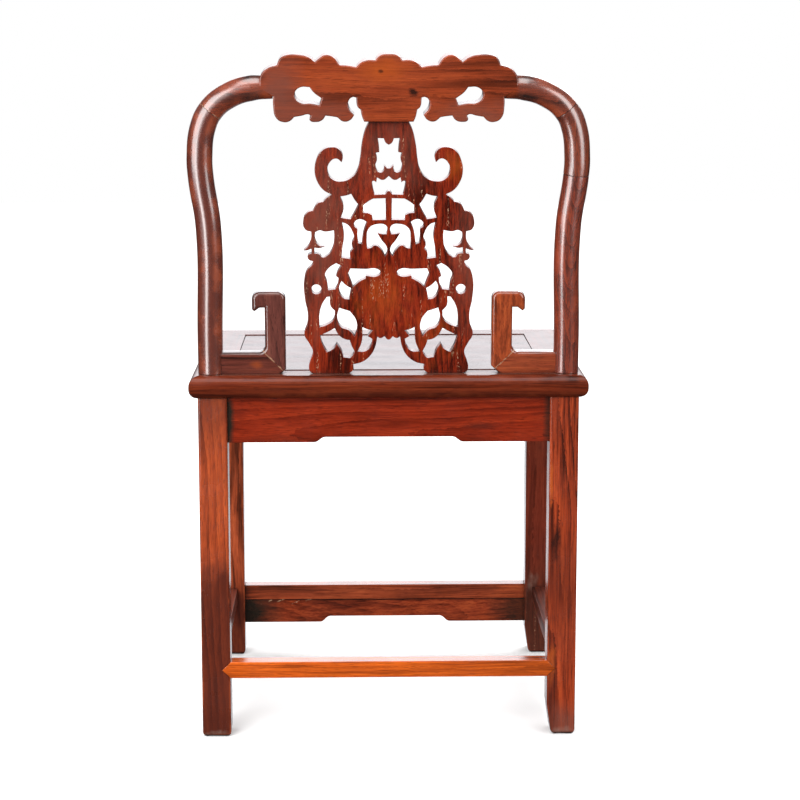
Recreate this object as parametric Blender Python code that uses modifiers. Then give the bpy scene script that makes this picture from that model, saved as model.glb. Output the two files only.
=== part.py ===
"""Carved side chair: mitred seat frame, bent back posts, lobed crest rail and fretted splat.

Metres, +Z up. The chair stands on Z = 0 and its front faces -Y, so +X is the sitter's left.
"""

import math

import bmesh
import bpy
from mathutils import Matrix, Vector

# Fit: the gap between pieces that touch, and how far a tenon is rooted in its own piece
CLEARANCE = 0.0003
TENON_ROOT = 0.004

# Seat frame and its floating panel
SEAT_WIDTH = 0.520
SEAT_DEPTH = 0.420
SEAT_TOP = 0.490
SEAT_THICKNESS = 0.030
SEAT_EDGE_RADIUS = 0.013
SIDE_RAIL_WIDTH = 0.055
REAR_RAIL_WIDTH = 0.050
FRONT_RAIL_WIDTH = 0.055
PANEL_THICKNESS = 0.012
PANEL_GAP = 0.0006
PANEL_TONGUE_LENGTH = 0.007
PANEL_TONGUE_THICKNESS = 0.005

# Battens under the panel, running from front to rear
BATTEN_WIDTH = 0.036
BATTEN_THICKNESS = 0.014
BATTEN_SPACING = 0.150
BATTEN_TENON_WIDTH = 0.024
BATTEN_TENON_THICKNESS = 0.007
BATTEN_TENON_LENGTH = 0.010

# Legs
LEG_SIZE = 0.038
LEG_EDGE_RADIUS = 0.003
SEAT_OVERHANG = 0.011
LEG_TENON_SIZE = 0.020
LEG_TENON_LENGTH = 0.018

# Aprons under the seat
APRON_DROP = 0.060
APRON_LIFT = 0.007
APRON_THICKNESS = 0.014
APRON_RECESS = 0.006
APRON_HOUSING = 0.005
APRON_STEP_FROM_LEG = 0.116
APRON_STEP_LENGTH = 0.009
APRON_STEP_RADIUS = 0.010

# Stretchers between the legs, with pointed shoulders on their outer faces
STRETCHER_TOP = 0.103
STRETCHER_HEIGHT = 0.022
STRETCHER_DEPTH = 0.022
SIDE_STRETCHER_DEPTH = 0.027
STRETCHER_EDGE_RADIUS = 0.0012
SHOULDER_LENGTH = 0.0116
SHOULDER_DEPTH = 0.011
STRETCHER_TENON_LENGTH = 0.013
STRETCHER_TENON_HEIGHT = 0.014
STRETCHER_TENON_THICKNESS = 0.008
STRETCHER_TENON_SETBACK = 0.012
LOWER_APRON_DROP = 0.036
LOWER_APRON_LIFT = 0.009

# Back posts: round rods that leave the seat upright and then lean back
POST_DIAMETER = 0.033
POST_OUTSET = 0.0025
POST_TENON_DIAMETER = 0.026
POST_TENON_ROOT = 0.012
BACK_LEAN = math.radians(6.0)
LEAN_START = 0.025
BACK_HEIGHT = 0.3735
RISE_HEIGHT = 0.048
WAIST_HEIGHT = 0.195
WAIST_INSET = 0.0008
SHOULDER_SPREAD = 0.0085
JOINT_PEG_RADIUS = 0.006
JOINT_PEG_LENGTH = 0.014

# Points of a post's bend: how far inside the shoulder and under the top rod each one lies
BEND_POINTS = {
    "splice": (0.0008, 0.1115),
    "shoulder": (0.0, 0.0885),
    "turn": (0.0050, 0.0500),
    "bend": (0.0155, 0.0285),
    "arch": (0.0370, 0.0105),
}

# Crest rail
CREST_WIDTH = 0.326
CREST_HEIGHT = 0.0860
CREST_BELOW_ROD = 0.0412
CREST_THICKNESS = 0.030
ROD_IN_CREST = 0.016
ROD_LEAD = 0.010
ROD_TAPER = 0.8

# Fretted splat
SPLAT_WIDTH = 0.220
SPLAT_THICKNESS = 0.014
SPLAT_TENON_WIDTH = 0.034
SPLAT_TENON_THICKNESS = 0.007
SPLAT_TENON_LENGTH = 0.011

# Hook brackets between the posts and the splat
BRACKET_REACH = 0.0985
BRACKET_HEIGHT = 0.1065
BRACKET_BAR = 0.027
BRACKET_FOOT = 0.029
BRACKET_THICKNESS = 0.020
BRACKET_EDGE_RADIUS = 0.003
BRACKET_FILLET = 0.006
BRACKET_CHAMFER = 0.014
HOOK_LENGTH = 0.0163
HOOK_DROP = 0.0260
HOOK_TIP_INSET = 0.003
HOOK_HOLLOW = 0.005
HOOK_CORNER_RADIUS = 0.008
BRACKET_PEG_RADIUS = 0.004
BRACKET_PEG_LENGTH = 0.007

# How finely curves are divided
ARC_STEPS = 4
CARVING_STEPS = 3
ROD_STEPS = 4
ROD_ROUNDNESS = 6
PEG_SIDES = 16
POST_HOLE_SIDES = 32
WELD_DISTANCE = 0.00001
SMOOTH_ANGLE = math.radians(30.0)

# Half outline of the splat in millimetres, from its top down to the point of the vase.
# Each run begins at a sharp corner and then passes smoothly through its other points.
SPLAT_EDGE = (
    ((25, 330), (30, 319), (34.5, 300), (36.5, 283), (40, 268), (47, 258.5), (60, 253.3),
     (72, 256), (78, 266), (75, 278), (67, 282.5)),
    ((60, 277.8), (58.6, 285), (63.5, 294.5), (74, 297), (85, 292.5), (92.5, 280),
     (94.5, 265), (90, 250.5), (82, 241)),
    ((73, 236.5), (79.5, 232)),
    ((84, 227), (91, 225)),
    ((97, 215.7), (104.5, 213), (110, 202), (107, 191)),
    ((99.7, 188.3), (99.7, 180), (103, 170.5)),
    ((110, 163.7), (105, 164)),
    ((99.6, 166),),
    ((99.3, 160), (104.3, 157.5), (103, 151.7)),
    ((98, 149.7), (98.2, 146), (105, 138.5), (109, 127), (108.5, 100), (105, 81), (106, 66),
     (109.7, 53), (103, 40), (98.8, 30), (102.5, 17), (104.2, 9), (102.3, 2.5)),
    ((97, 0.3),),
    ((97, -4),),
    ((52, -4.4),),
    ((52, 0), (46, 5.5)),
    ((46.5, 12.5), (35, 15.5), (24, 24), (17.5, 36)),
    ((14.8, 49.5), (10.5, 47.5)),
    ((5.5, 50), (0, 45.4)),
)

# Openings that cross the middle of the splat, as half outlines
SPLAT_MIDDLE_OPENINGS = (
    # Between the bat and the top
    (((0, 300), (4, 302.7)), ((6.5, 308.3),), ((14.2, 308.5), (12.6, 299)), ((12, 290.8),),
     ((16.8, 289.8), (15, 282), (17, 273), (12, 264.8), (7, 266.5)), ((6, 273.7), (0, 269.8))),
    # Under the bat
    (((0, 260), (7.5, 255)), ((15, 258.2),), ((16, 252), (19.5, 254)), ((21.5, 252.7), (20, 243)),
     ((18.2, 236),), ((4.4, 236.5), (0, 241))),
)

# Openings on one side of the splat, each repeated on the other side
SPLAT_SIDE_OPENINGS = (
    # Beside the middle post
    (((4, 231.5),), ((20, 231), (25.5, 228)), ((32.8, 222.4),), ((32.6, 212.7), (26, 212)),
     ((21.2, 209.5),), ((20.7, 203.3),), ((3.8, 203.6),)),
    # Under the horn
    (((62.5, 233.8), (55, 235)), ((48, 237.2), (44, 230)), ((39, 223.2), (44, 213.3)),
     ((49, 204.5), (55, 205.2)), ((61.3, 206.5), (57.8, 219))),
    # Inside the curl
    (((28, 200.5), (32, 190), (34, 179)), ((34.7, 171.7),), ((39.3, 173.5), (40.3, 182)),
     ((40, 191.7), (44.7, 196.5), (41, 203.3), (34, 203.9))),
    # Slender gap beside the curl
    (((60.3, 200.5), (53, 197.5), (46.5, 188), (44.8, 179.5)), ((47.6, 174.5), (47.5, 169.5)),
     ((45.8, 166.3), (50, 160)), ((49.3, 152.6),), ((60.8, 154.3), (59.5, 168), (57.5, 182))),
    # Beside the thin stem and its leaf
    (((94.5, 187.5), (89, 190), (82, 188.4)),
     ((70.5, 190), (70.2, 180), (73, 165), (80, 156.5), (85.5, 154.7), (89.5, 158.8)),
     ((95.8, 159.8),), ((95.8, 167.5), (90, 166.7)), ((81.7, 169.2), (89.5, 170.2), (94.8, 178.5))),
    # Arch with a leaf over the vase
    (((27.8, 166.2), (28.3, 178), (25.5, 192.5), (13, 198.2), (3.5, 196), (1.8, 191)),
     ((3, 185), (8, 185)), ((14.8, 186.6), (9, 177), (2.8, 168.5), (2, 161.5)),
     ((4.8, 155.8), (9.5, 164.8), (17.5, 170.3), (23, 167))),
    # Slot over the vase's shoulder
    (((49.5, 140), (30, 139.4), (14.5, 139.2), (10.6, 134.7), (14.5, 130)), ((29.6, 130.5),),
     ((29.8, 127), (39, 122)), ((46.2, 115.4), (48.8, 123)), ((52.8, 132.7),)),
    # Beside the upper leaf
    (((68, 147),), ((61.3, 143.8), (66, 136)), ((68, 130),), ((65, 127.7), (66, 118.5)),
     ((69.3, 112.7),), ((78.5, 111.5), (80, 122.5), (82.5, 131.5), (77, 141))),
    # Between the vine and the vase
    (((61, 123.5), (54.5, 117.5)), ((48.2, 113.9), (50, 107)),
     ((51.3, 99.4), (58, 100.6), (64, 110), (63.8, 117))),
    # Lens beside the outer edge
    (((80.3, 102.6),), ((76.2, 103), (75.5, 91)), ((69.8, 84.2), (71.5, 72.5), (79.5, 65.8)),
     ((90, 62), (90, 78), (86.5, 92.5))),
    # Beside the foot of the vase
    (((64.3, 88.2), (58, 86)), ((50.5, 83.7), (42.5, 72), (41.5, 58)),
     ((44.5, 50), (51, 57.7), (62.5, 63), (67, 74))),
    # Over the splat's foot
    (((89.5, 51.5), (79, 56.2)), ((70.2, 61), (64.5, 51.5), (57, 46.3)), ((50.7, 45), (48.5, 38)),
     ((44.4, 30), (46.7, 24.8)), ((50.5, 20.8),), ((58.7, 22), (61.8, 31)), ((67.6, 40), (72, 33.5)),
     ((80.6, 28.8), (86.5, 40))),
    # Between the vase and the lower scroll
    (((34, 62.3), (28, 59.5)), ((21, 58),), ((27.3, 50.2),), ((21, 46.4), (23.5, 36.5), (30.5, 30)),
     ((40.3, 29.8), (35, 43))),
)

# Round eye in the edge of the splat: centre and radius
SPLAT_EYE = (93.5, 112.7, 6.5)

# Half outline of the crest in millimetres over its lower edge, from its top to its underside
CREST_EDGE = (
    ((0, 88), (8, 87.3), (14, 83.7)),
    ((17, 79.8), (27, 80), (36, 76.3)),
    ((41.3, 70.9), (51, 72.8)),
    ((62, 73.7), (69, 83), (79, 86.8), (88, 82)),
    ((92.8, 77.7), (102, 84.3), (114, 87), (128, 86.7), (136.5, 82.5)),
    ((140.7, 73.5), (152, 69.8), (161, 61), (163, 50)),
    ((162, 42),),
    ((145.7, 33), (146, 22), (142, 4.5), (133, -0.5), (125, 1)),
    ((119.5, 6.3), (110, 8), (102, 9.8)),
    ((98.7, 8), (100, 2.2), (92, -0.3), (84, 2.4)),
    ((80, 8), (73, 7.2)),
    ((65.5, 6), (57, 0.2), (48.5, 2.5)),
    ((43.8, 8.8), (50.5, 17.5), (50.5, 28), (45.5, 32.2)),
    ((41.3, 31.5), (39.5, 19.5)),
    ((35.8, 15.8), (34, 7)),
    ((31.2, 0),),
)

# Opening in each half of the crest
CREST_OPENING = (
    ((100, 45.2), (95, 38.5)),
    ((84.7, 30.5),),
    ((87.8, 21.7), (99, 23.8), (110, 24.2), (117.5, 30), (118.5, 38), (112, 44.7)),
)

# Colours of the timber, as linear red, green and blue
DARK_ROSEWOOD = (0.075, 0.016, 0.010)
RED_ROSEWOOD = (0.130, 0.028, 0.013)
BROWN_ROSEWOOD = (0.105, 0.030, 0.017)
ORANGE_ROSEWOOD = (0.330, 0.095, 0.022)
POLISH_ROUGHNESS = 0.28


# Places that follow from the sizes

LEG_X = SEAT_WIDTH / 2 - SEAT_OVERHANG - LEG_SIZE / 2
LEG_Y = SEAT_DEPTH / 2 - SEAT_OVERHANG - LEG_SIZE / 2
POST_X = LEG_X + POST_OUTSET
SEAT_UNDERSIDE = SEAT_TOP - SEAT_THICKNESS
PANEL_UNDERSIDE = SEAT_TOP - PANEL_THICKNESS
CREST_BOTTOM = BACK_HEIGHT - CREST_BELOW_ROD

# A cutter that takes away a whole side is larger than any piece
CUTTER_SIZE = SEAT_WIDTH + SEAT_DEPTH + SEAT_TOP

# The origin lies under the middle of the whole chair, and the back reaches past the seat
CREST_REACH = CREST_BOTTOM + CREST_HEIGHT - LEAN_START
BACK_REACH = LEG_Y + CREST_REACH * math.sin(BACK_LEAN) + CREST_THICKNESS / 2 * math.cos(BACK_LEAN)
SEAT_MIDDLE_Y = -(BACK_REACH - SEAT_DEPTH / 2) / 2
SEAT_FRAME = Matrix.Translation((0, SEAT_MIDDLE_Y, 0))
UPRIGHT = Matrix.Rotation(math.pi / 2, 4, "X")

# The leaning plane of the back, with its heights counted from the seat
REAR_Y = SEAT_MIDDLE_Y + LEG_Y
BACK_FRAME = (Matrix.Translation((0, REAR_Y, SEAT_TOP + LEAN_START))
              @ Matrix.Rotation(-BACK_LEAN, 4, "X")
              @ Matrix.Translation((0, 0, -LEAN_START)))

# The four sides of the chair, turned so that each faces outwards along its own +Y
SIDE_FRAMES = {
    "rear": SEAT_FRAME,
    "left": SEAT_FRAME @ Matrix.Rotation(-math.pi / 2, 4, "Z"),
    "front": SEAT_FRAME @ Matrix.Rotation(math.pi, 4, "Z"),
    "right": SEAT_FRAME @ Matrix.Rotation(math.pi / 2, 4, "Z"),
}
SIDE_LEGS = {
    "rear": ("rear_leg_right", "rear_leg_left"),
    "left": ("rear_leg_left", "front_leg_left"),
    "front": ("front_leg_left", "front_leg_right"),
    "right": ("front_leg_right", "rear_leg_right"),
}
RAIL_WIDTHS = {
    "rear": REAR_RAIL_WIDTH,
    "left": SIDE_RAIL_WIDTH,
    "front": FRONT_RAIL_WIDTH,
    "right": SIDE_RAIL_WIDTH,
}


def leg_half_span(side):
    """Half the clear distance between the two legs of a side."""
    middle = LEG_X if side in ("rear", "front") else LEG_Y
    return middle - LEG_SIZE / 2


def leg_outer_face(side):
    """Distance from the seat's middle to the outer face of a side's legs."""
    middle = LEG_Y if side in ("rear", "front") else LEG_X
    return middle + LEG_SIZE / 2


def back_point(x, height):
    """A point on the line of the posts, upright below the start of the lean."""
    lean = max(height - LEAN_START, 0.0)
    upright = min(height, LEAN_START)
    return Vector((x,
                   REAR_Y + lean * math.sin(BACK_LEAN),
                   SEAT_TOP + upright + lean * math.cos(BACK_LEAN)))


# Modelling tools

def new_collection(name):
    collection = bpy.data.collections.new(name)
    bpy.context.scene.collection.children.link(collection)
    return collection


def solid_from_bmesh(name, shape, matrix):
    mesh = bpy.data.meshes.new(name)
    shape.to_mesh(mesh)
    shape.free()
    mesh.shade_smooth()
    mesh.set_sharp_from_angle(angle=SMOOTH_ANGLE)
    solid = bpy.data.objects.new(name, mesh)
    solid.matrix_world = matrix
    parts.objects.link(solid)
    return solid


def solid_from_curve(name, drawing, matrix):
    """Make a curve's filled shape a closed mesh."""
    guide = bpy.data.objects.new(name + "_guide", drawing)
    parts.objects.link(guide)
    depsgraph = bpy.context.evaluated_depsgraph_get()
    filled = bpy.data.meshes.new_from_object(guide.evaluated_get(depsgraph))
    shape = bmesh.new()
    shape.from_mesh(filled)
    bmesh.ops.remove_doubles(shape, verts=shape.verts, dist=WELD_DISTANCE)
    bpy.data.meshes.remove(filled)
    bpy.data.objects.remove(guide)
    bpy.data.curves.remove(drawing)
    return solid_from_bmesh(name, shape, matrix)


def box(name, low, high, frame):
    """A block between two corners given in a frame."""
    low = Vector(low)
    high = Vector(high)
    shape = bmesh.new()
    bmesh.ops.create_cube(shape, size=1.0)
    bmesh.ops.scale(shape, vec=high - low, verts=shape.verts)
    return solid_from_bmesh(name, shape, frame @ Matrix.Translation((low + high) / 2))


def rod(name, radius, start, end, sides):
    """A straight round rod between two points."""
    start = Vector(start)
    axis = Vector(end) - start
    shape = bmesh.new()
    bmesh.ops.create_cone(shape, cap_ends=True, segments=sides, radius1=radius, radius2=radius,
                          depth=axis.length)
    turn = axis.to_track_quat("Z", "Y").to_matrix().to_4x4()
    return solid_from_bmesh(name, shape, Matrix.Translation(start + axis / 2) @ turn)


def far_side(name, point, direction):
    """A cutter for everything past a plane."""
    half = CUTTER_SIZE / 2
    turn = direction.to_track_quat("Z", "Y").to_matrix().to_4x4()
    return box(name, (-half, -half, 0), (half, half, CUTTER_SIZE), Matrix.Translation(point) @ turn)


def bent_rod(name, points, radius, end_radius=None):
    """A round rod along a smooth line, drawn in towards its last point if asked."""
    line = bpy.data.curves.new(name, "CURVE")
    line.dimensions = "3D"
    line.bevel_depth = radius
    line.bevel_resolution = ROD_ROUNDNESS
    line.resolution_u = ROD_STEPS
    line.use_fill_caps = True
    spline = line.splines.new("BEZIER")
    spline.bezier_points.add(len(points) - 1)
    for knot, point in zip(spline.bezier_points, points):
        knot.co = point
        knot.handle_left_type = "AUTO"
        knot.handle_right_type = "AUTO"
    if end_radius:
        spline.bezier_points[-1].radius = end_radius / radius
    return solid_from_curve(name, line, Matrix())


def board(name, outlines, thickness, frame, steps=1):
    """A flat board from closed outlines of (x, y, sharp) points, the first round the others."""
    drawing = bpy.data.curves.new(name, "CURVE")
    drawing.dimensions = "2D"
    drawing.fill_mode = "BOTH"
    drawing.extrude = thickness / 2
    drawing.resolution_u = steps
    for outline in outlines:
        spline = drawing.splines.new("BEZIER")
        spline.bezier_points.add(len(outline) - 1)
        spline.use_cyclic_u = True
        for knot, (x, y, sharp) in zip(spline.bezier_points, outline):
            knot.co = (x, y, 0)
            knot.handle_left_type = "VECTOR" if sharp else "AUTO"
            knot.handle_right_type = "VECTOR" if sharp else "AUTO"
    return solid_from_curve(name, drawing, frame)


def carved(runs):
    """The points of a drawn outline, sharp where each run begins."""
    return [(x, y, place == 0) for run in runs for place, (x, y) in enumerate(run)]


def flipped(outline):
    return [(-x, y, sharp) for x, y, sharp in reversed(outline)]


def whole(half):
    """A half outline and its mirror image, joined at the middle line."""
    return half + [point for point in flipped(half) if point[0] < 0]


def scaled(outline, wide, high, lift=0.0):
    return [(x * wide, y * high + lift, sharp) for x, y, sharp in outline]


def rounded(corners):
    """A polygon of (x, y, radius) corners, each rounded by an arc."""
    outline = []
    for place, (x, y, radius) in enumerate(corners):
        corner = Vector((x, y))
        before = (Vector(corners[place - 1][:2]) - corner).normalized()
        after = (Vector(corners[(place + 1) % len(corners)][:2]) - corner).normalized()
        if not radius:
            outline.append((x, y, True))
            continue
        half_angle = before.angle(after) / 2
        centre = corner + (before + after).normalized() * radius / math.sin(half_angle)
        reach = radius / math.tan(half_angle)
        start = corner + before * reach - centre
        sweep = start.angle_signed(corner + after * reach - centre)
        for step in range(ARC_STEPS + 1):
            spoke = start.copy()
            spoke.rotate(Matrix.Rotation(-sweep * step / ARC_STEPS, 2))
            outline.append((*(centre + spoke), True))
    return outline


def as_tool(tool):
    """Set a shape aside as a cutter or an addition to other pieces."""
    if tool.name in parts.objects:
        parts.objects.unlink(tool)
        tools.objects.link(tool)
        tool.hide_render = True
        tool.display_type = "WIRE"


def combine(piece, tool, operation):
    as_tool(tool)
    step = piece.modifiers.new(tool.name, "BOOLEAN")
    step.operation = operation
    step.solver = "EXACT"
    step.object = tool


def cut(piece, tool):
    combine(piece, tool, "DIFFERENCE")


def join(piece, tool):
    combine(piece, tool, "UNION")


def soften(piece, width):
    """Round the edges of a piece a little."""
    edge = piece.modifiers.new("rounded_edges", "BEVEL")
    edge.width = width
    edge.segments = 2
    edge.limit_method = "ANGLE"


def stand_on_seat(piece):
    """Cut a piece level where it stands on the seat."""
    cut(piece, far_side("seat_face", Vector((0, REAR_Y, SEAT_TOP + CLEARANCE)), Vector((0, 0, -1))))


def tenon(giver, takers, low, high, frame):
    """Add a square tenon to one piece and cut its mortise, a clearance larger, in others."""
    join(giver, box("tenon", low, high, frame))
    spare = Vector((CLEARANCE, CLEARANCE, CLEARANCE))
    mortise = box("mortise", Vector(low) - spare, Vector(high) + spare, frame)
    for taker in takers:
        cut(taker, mortise)


def peg(giver, taker, point, direction, radius, length):
    """Add a round tenon at a joint to one piece and bore its hole in the other."""
    root = point - direction * length
    join(giver, rod("peg", radius, root, point + direction * length, PEG_SIDES))
    end = point + direction * (length + CLEARANCE)
    cut(taker, rod("peg_hole", radius + CLEARANCE, root, end, PEG_SIDES))


def paint(piece, colour):
    timber = bpy.data.materials.new(piece.name + "_wood")
    timber.use_nodes = True
    surface = timber.node_tree.nodes["Principled BSDF"]
    surface.inputs["Base Color"].default_value = (*colour, 1.0)
    surface.inputs["Roughness"].default_value = POLISH_ROUGHNESS
    surface.inputs["Metallic"].default_value = 0.0
    piece.data.materials.clear()
    piece.data.materials.append(timber)


# Line of the post on one side, from inside the leg up to the crest

def post_line(sign):
    """Points of a post's centre line, by name, on the +X or -X side."""
    places = {
        "root": (POST_X, -SEAT_THICKNESS),
        "seat": (POST_X, 0.0),
        "rise": (POST_X, RISE_HEIGHT),
        "waist": (POST_X - WAIST_INSET, WAIST_HEIGHT),
    }
    for name, (inside, under) in BEND_POINTS.items():
        places[name] = (POST_X + SHOULDER_SPREAD - inside, BACK_HEIGHT - under)
    places["crest"] = (CREST_WIDTH / 2 + ROD_LEAD, BACK_HEIGHT)
    places["end"] = (CREST_WIDTH / 2 - ROD_IN_CREST, BACK_HEIGHT)
    return {name: back_point(sign * x, height) for name, (x, height) in places.items()}


def stretch(line, first, last):
    """The part of a line between two named points."""
    names = list(line)
    return [line[name] for name in names[names.index(first):names.index(last) + 1]]


def direction_at(line, name):
    """Direction of a smooth line at one of its points."""
    names = list(line)
    place = names.index(name)
    before = (line[name] - line[names[place - 1]]).normalized()
    after = (line[names[place + 1]] - line[name]).normalized()
    return (before + after).normalized()


def butt_joint(lower, upper, line, name):
    """Part two lengths of a rod square to its line and peg them together."""
    along = direction_at(line, name)
    gap = along * CLEARANCE / 2
    cut(lower, far_side("joint_face", line[name] - gap, along))
    cut(upper, far_side("joint_face", line[name] + gap, -along))
    peg(lower, upper, line[name], along, JOINT_PEG_RADIUS, JOINT_PEG_LENGTH)


# Pieces

def make_legs():
    """Front legs end in tenons under the seat. Rear legs run on as the posts of the back."""
    made = {}
    half = LEG_SIZE / 2
    shoulder = far_side("leg_shoulder", Vector((0, 0, SEAT_UNDERSIDE - CLEARANCE)), Vector((0, 0, 1)))
    for place, sign_y in (("rear", 1), ("front", -1)):
        for side, sign_x in (("left", 1), ("right", -1)):
            middle = Vector((sign_x * LEG_X, sign_y * LEG_Y, 0))
            low = middle - Vector((half, half, 0))
            high = middle + Vector((half, half, SEAT_TOP))
            leg = box(f"{place}_leg_{side}", low, high, SEAT_FRAME)
            soften(leg, LEG_EDGE_RADIUS)
            cut(leg, shoulder)
            made[leg.name] = leg
    return made


def make_back_frame(legs):
    """The rear legs' posts, the spliced bend on the right and the top rail with its crest."""
    wide = CREST_WIDTH / 2 / max(x for run in CREST_EDGE for x, y in run)
    low = min(y for run in CREST_EDGE for x, y in run)
    high = CREST_HEIGHT / (max(y for run in CREST_EDGE for x, y in run) - low)
    lift = CREST_BOTTOM
    edge = scaled(whole(carved(CREST_EDGE)), wide, high, lift)
    opening = scaled(carved(CREST_OPENING), wide, high, lift)
    top_rail = board("top_rail", [edge, opening, flipped(opening)], CREST_THICKNESS,
                     BACK_FRAME @ UPRIGHT, CARVING_STEPS)
    radius = POST_DIAMETER / 2
    lines = {"left": post_line(1), "right": post_line(-1)}
    for line in lines.values():
        end_radius = CREST_THICKNESS / 2 * ROD_TAPER
        join(top_rail, bent_rod("rail_end", stretch(line, "turn", "end"), radius, end_radius))

    left = lines["left"]
    add_post(legs["rear_leg_left"], stretch(left, "root", "arch"))
    butt_joint(legs["rear_leg_left"], top_rail, left, "bend")

    right = lines["right"]
    bend = bent_rod("back_bend_right", stretch(right, "waist", "arch"), radius)
    add_post(legs["rear_leg_right"], stretch(right, "root", "shoulder"))
    butt_joint(legs["rear_leg_right"], bend, right, "splice")
    butt_joint(bend, top_rail, right, "bend")
    return top_rail, bend


def add_post(leg, points):
    """A leg's post, which stands on the seat round the tenon that passes through the frame."""
    foot = points[0] - Vector((0, 0, POST_TENON_ROOT))
    neck = points[1] + Vector((0, 0, POST_TENON_ROOT))
    join(leg, rod("post_tenon", POST_TENON_DIAMETER / 2, foot, neck, POST_HOLE_SIDES))
    post = bent_rod("post", points, POST_DIAMETER / 2)
    stand_on_seat(post)
    join(leg, post)


def make_seat_rails(legs):
    """Four mitred rails with rounded outer edges, grooved for the panel."""
    rails = {}
    sides = list(SIDE_FRAMES)
    for place, side in enumerate(sides):
        along_x = side in ("rear", "front")
        half_length = (SEAT_WIDTH if along_x else SEAT_DEPTH) / 2
        outer = (SEAT_DEPTH if along_x else SEAT_WIDTH) / 2
        inner = outer - RAIL_WIDTHS[side]
        ends = []
        for sign, neighbour in ((-1, sides[place - 1]), (1, sides[(place + 1) % len(sides)])):
            mitre = Vector((RAIL_WIDTHS[neighbour], RAIL_WIDTHS[side]))
            back = CLEARANCE / 2 * mitre.length / mitre.y
            ends.append((sign * (half_length - back), sign * (half_length - mitre.x - back)))
        (left_outer, left_inner), (right_outer, right_inner) = ends
        plan = rounded(((left_outer, outer, 0), (left_inner, inner, 0),
                        (right_inner, inner, 0), (right_outer, outer, 0)))
        frame = SIDE_FRAMES[side] @ Matrix.Translation((0, 0, SEAT_TOP - SEAT_THICKNESS / 2))
        rail = board(f"seat_rail_{side}", [plan], SEAT_THICKNESS, frame)
        round_outer_edge(rail, outer)
        rails[side] = rail

    hole = POST_TENON_DIAMETER / 2 + CLEARANCE
    for side, sign in (("left", 1), ("right", -1)):
        foot = Vector((sign * POST_X, REAR_Y, SEAT_UNDERSIDE - SEAT_THICKNESS))
        top = Vector((sign * POST_X, REAR_Y, SEAT_TOP + SEAT_THICKNESS))
        post_hole = rod("post_hole", hole, foot, top, POST_HOLE_SIDES)
        cut(rails["rear"], post_hole)
        cut(rails[side], post_hole)
        middle = Vector((sign * LEG_X, -LEG_Y, SEAT_UNDERSIDE))
        half = LEG_TENON_SIZE / 2
        tenon(legs[f"front_leg_{side}"], (rails["front"], rails[side]),
              middle - Vector((half, half, TENON_ROOT)),
              middle + Vector((half, half, LEG_TENON_LENGTH)), SEAT_FRAME)
    return rails


def round_outer_edge(rail, outer):
    """Bevel the two long edges on a rail's outer face."""
    mesh = rail.data
    weights = mesh.attributes.new("bevel_weight_edge", "FLOAT", "EDGE")
    for edge in mesh.edges:
        start, end = (mesh.vertices[index].co for index in edge.vertices)
        on_face = min(start.y, end.y) > outer - CLEARANCE
        runs_along = abs(start.z - end.z) < CLEARANCE
        weights.data[edge.index].value = 1.0 if on_face and runs_along else 0.0
    nose = rail.modifiers.new("rounded_nose", "BEVEL")
    nose.limit_method = "WEIGHT"
    nose.width = SEAT_EDGE_RADIUS
    nose.segments = ARC_STEPS


def make_seat_panel(rails):
    """A panel that floats in grooves, on two battens tenoned into the front and rear rails."""
    side = SEAT_WIDTH / 2 - SIDE_RAIL_WIDTH
    front = -SEAT_DEPTH / 2 + FRONT_RAIL_WIDTH
    rear = SEAT_DEPTH / 2 - REAR_RAIL_WIDTH
    gap = PANEL_GAP
    panel = box("seat_panel", (-side + gap, front + gap, PANEL_UNDERSIDE),
                (side - gap, rear - gap, SEAT_TOP), SEAT_FRAME)
    tongue = PANEL_TONGUE_LENGTH
    middle = SEAT_TOP - PANEL_THICKNESS / 2
    half = PANEL_TONGUE_THICKNESS / 2
    tenon(panel, rails.values(), (-side - tongue, front - tongue, middle - half),
          (side + tongue, rear + tongue, middle + half), SEAT_FRAME)

    battens = []
    for number, sign in ((1, 1), (2, -1)):
        x = sign * BATTEN_SPACING / 2
        top = PANEL_UNDERSIDE - CLEARANCE
        batten = box(f"seat_batten_{number}",
                     (x - BATTEN_WIDTH / 2, front + CLEARANCE, top - BATTEN_THICKNESS),
                     (x + BATTEN_WIDTH / 2, rear - CLEARANCE, top), SEAT_FRAME)
        half_width = BATTEN_TENON_WIDTH / 2
        low = top - (BATTEN_THICKNESS + BATTEN_TENON_THICKNESS) / 2
        tenon(batten, (rails["front"], rails["rear"]),
              (x - half_width, front - BATTEN_TENON_LENGTH, low),
              (x + half_width, rear + BATTEN_TENON_LENGTH, low + BATTEN_TENON_THICKNESS), SEAT_FRAME)
        battens.append(batten)
    return panel, battens


def stepped_apron(name, half_length, top, drop, lift, frame):
    """An apron whose lower edge steps up towards the middle, upright in its frame."""
    step = half_length - APRON_HOUSING - APRON_STEP_FROM_LEG
    high = top - drop + lift
    low = top - drop
    edge = APRON_STEP_RADIUS
    lower = ((half_length, top, 0), (half_length, low, 0), (step, low, edge),
             (step - APRON_STEP_LENGTH, high, edge))
    corners = lower + tuple((-x, y, radius) for x, y, radius in reversed(lower))
    return board(name, [rounded(corners)], APRON_THICKNESS, frame @ UPRIGHT)


def make_aprons(legs):
    """Aprons under the seat, and one under the front stretcher, housed in the legs."""
    aprons = []
    for side, frame in SIDE_FRAMES.items():
        top = SEAT_UNDERSIDE - CLEARANCE
        aprons.append(housed_apron(f"apron_{side}", side, top, APRON_DROP, APRON_LIFT, frame, legs))
    top = STRETCHER_TOP - STRETCHER_HEIGHT - CLEARANCE
    aprons.append(housed_apron("stretcher_apron_front", "front", top, LOWER_APRON_DROP,
                               LOWER_APRON_LIFT, SIDE_FRAMES["front"], legs))
    return aprons


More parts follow.
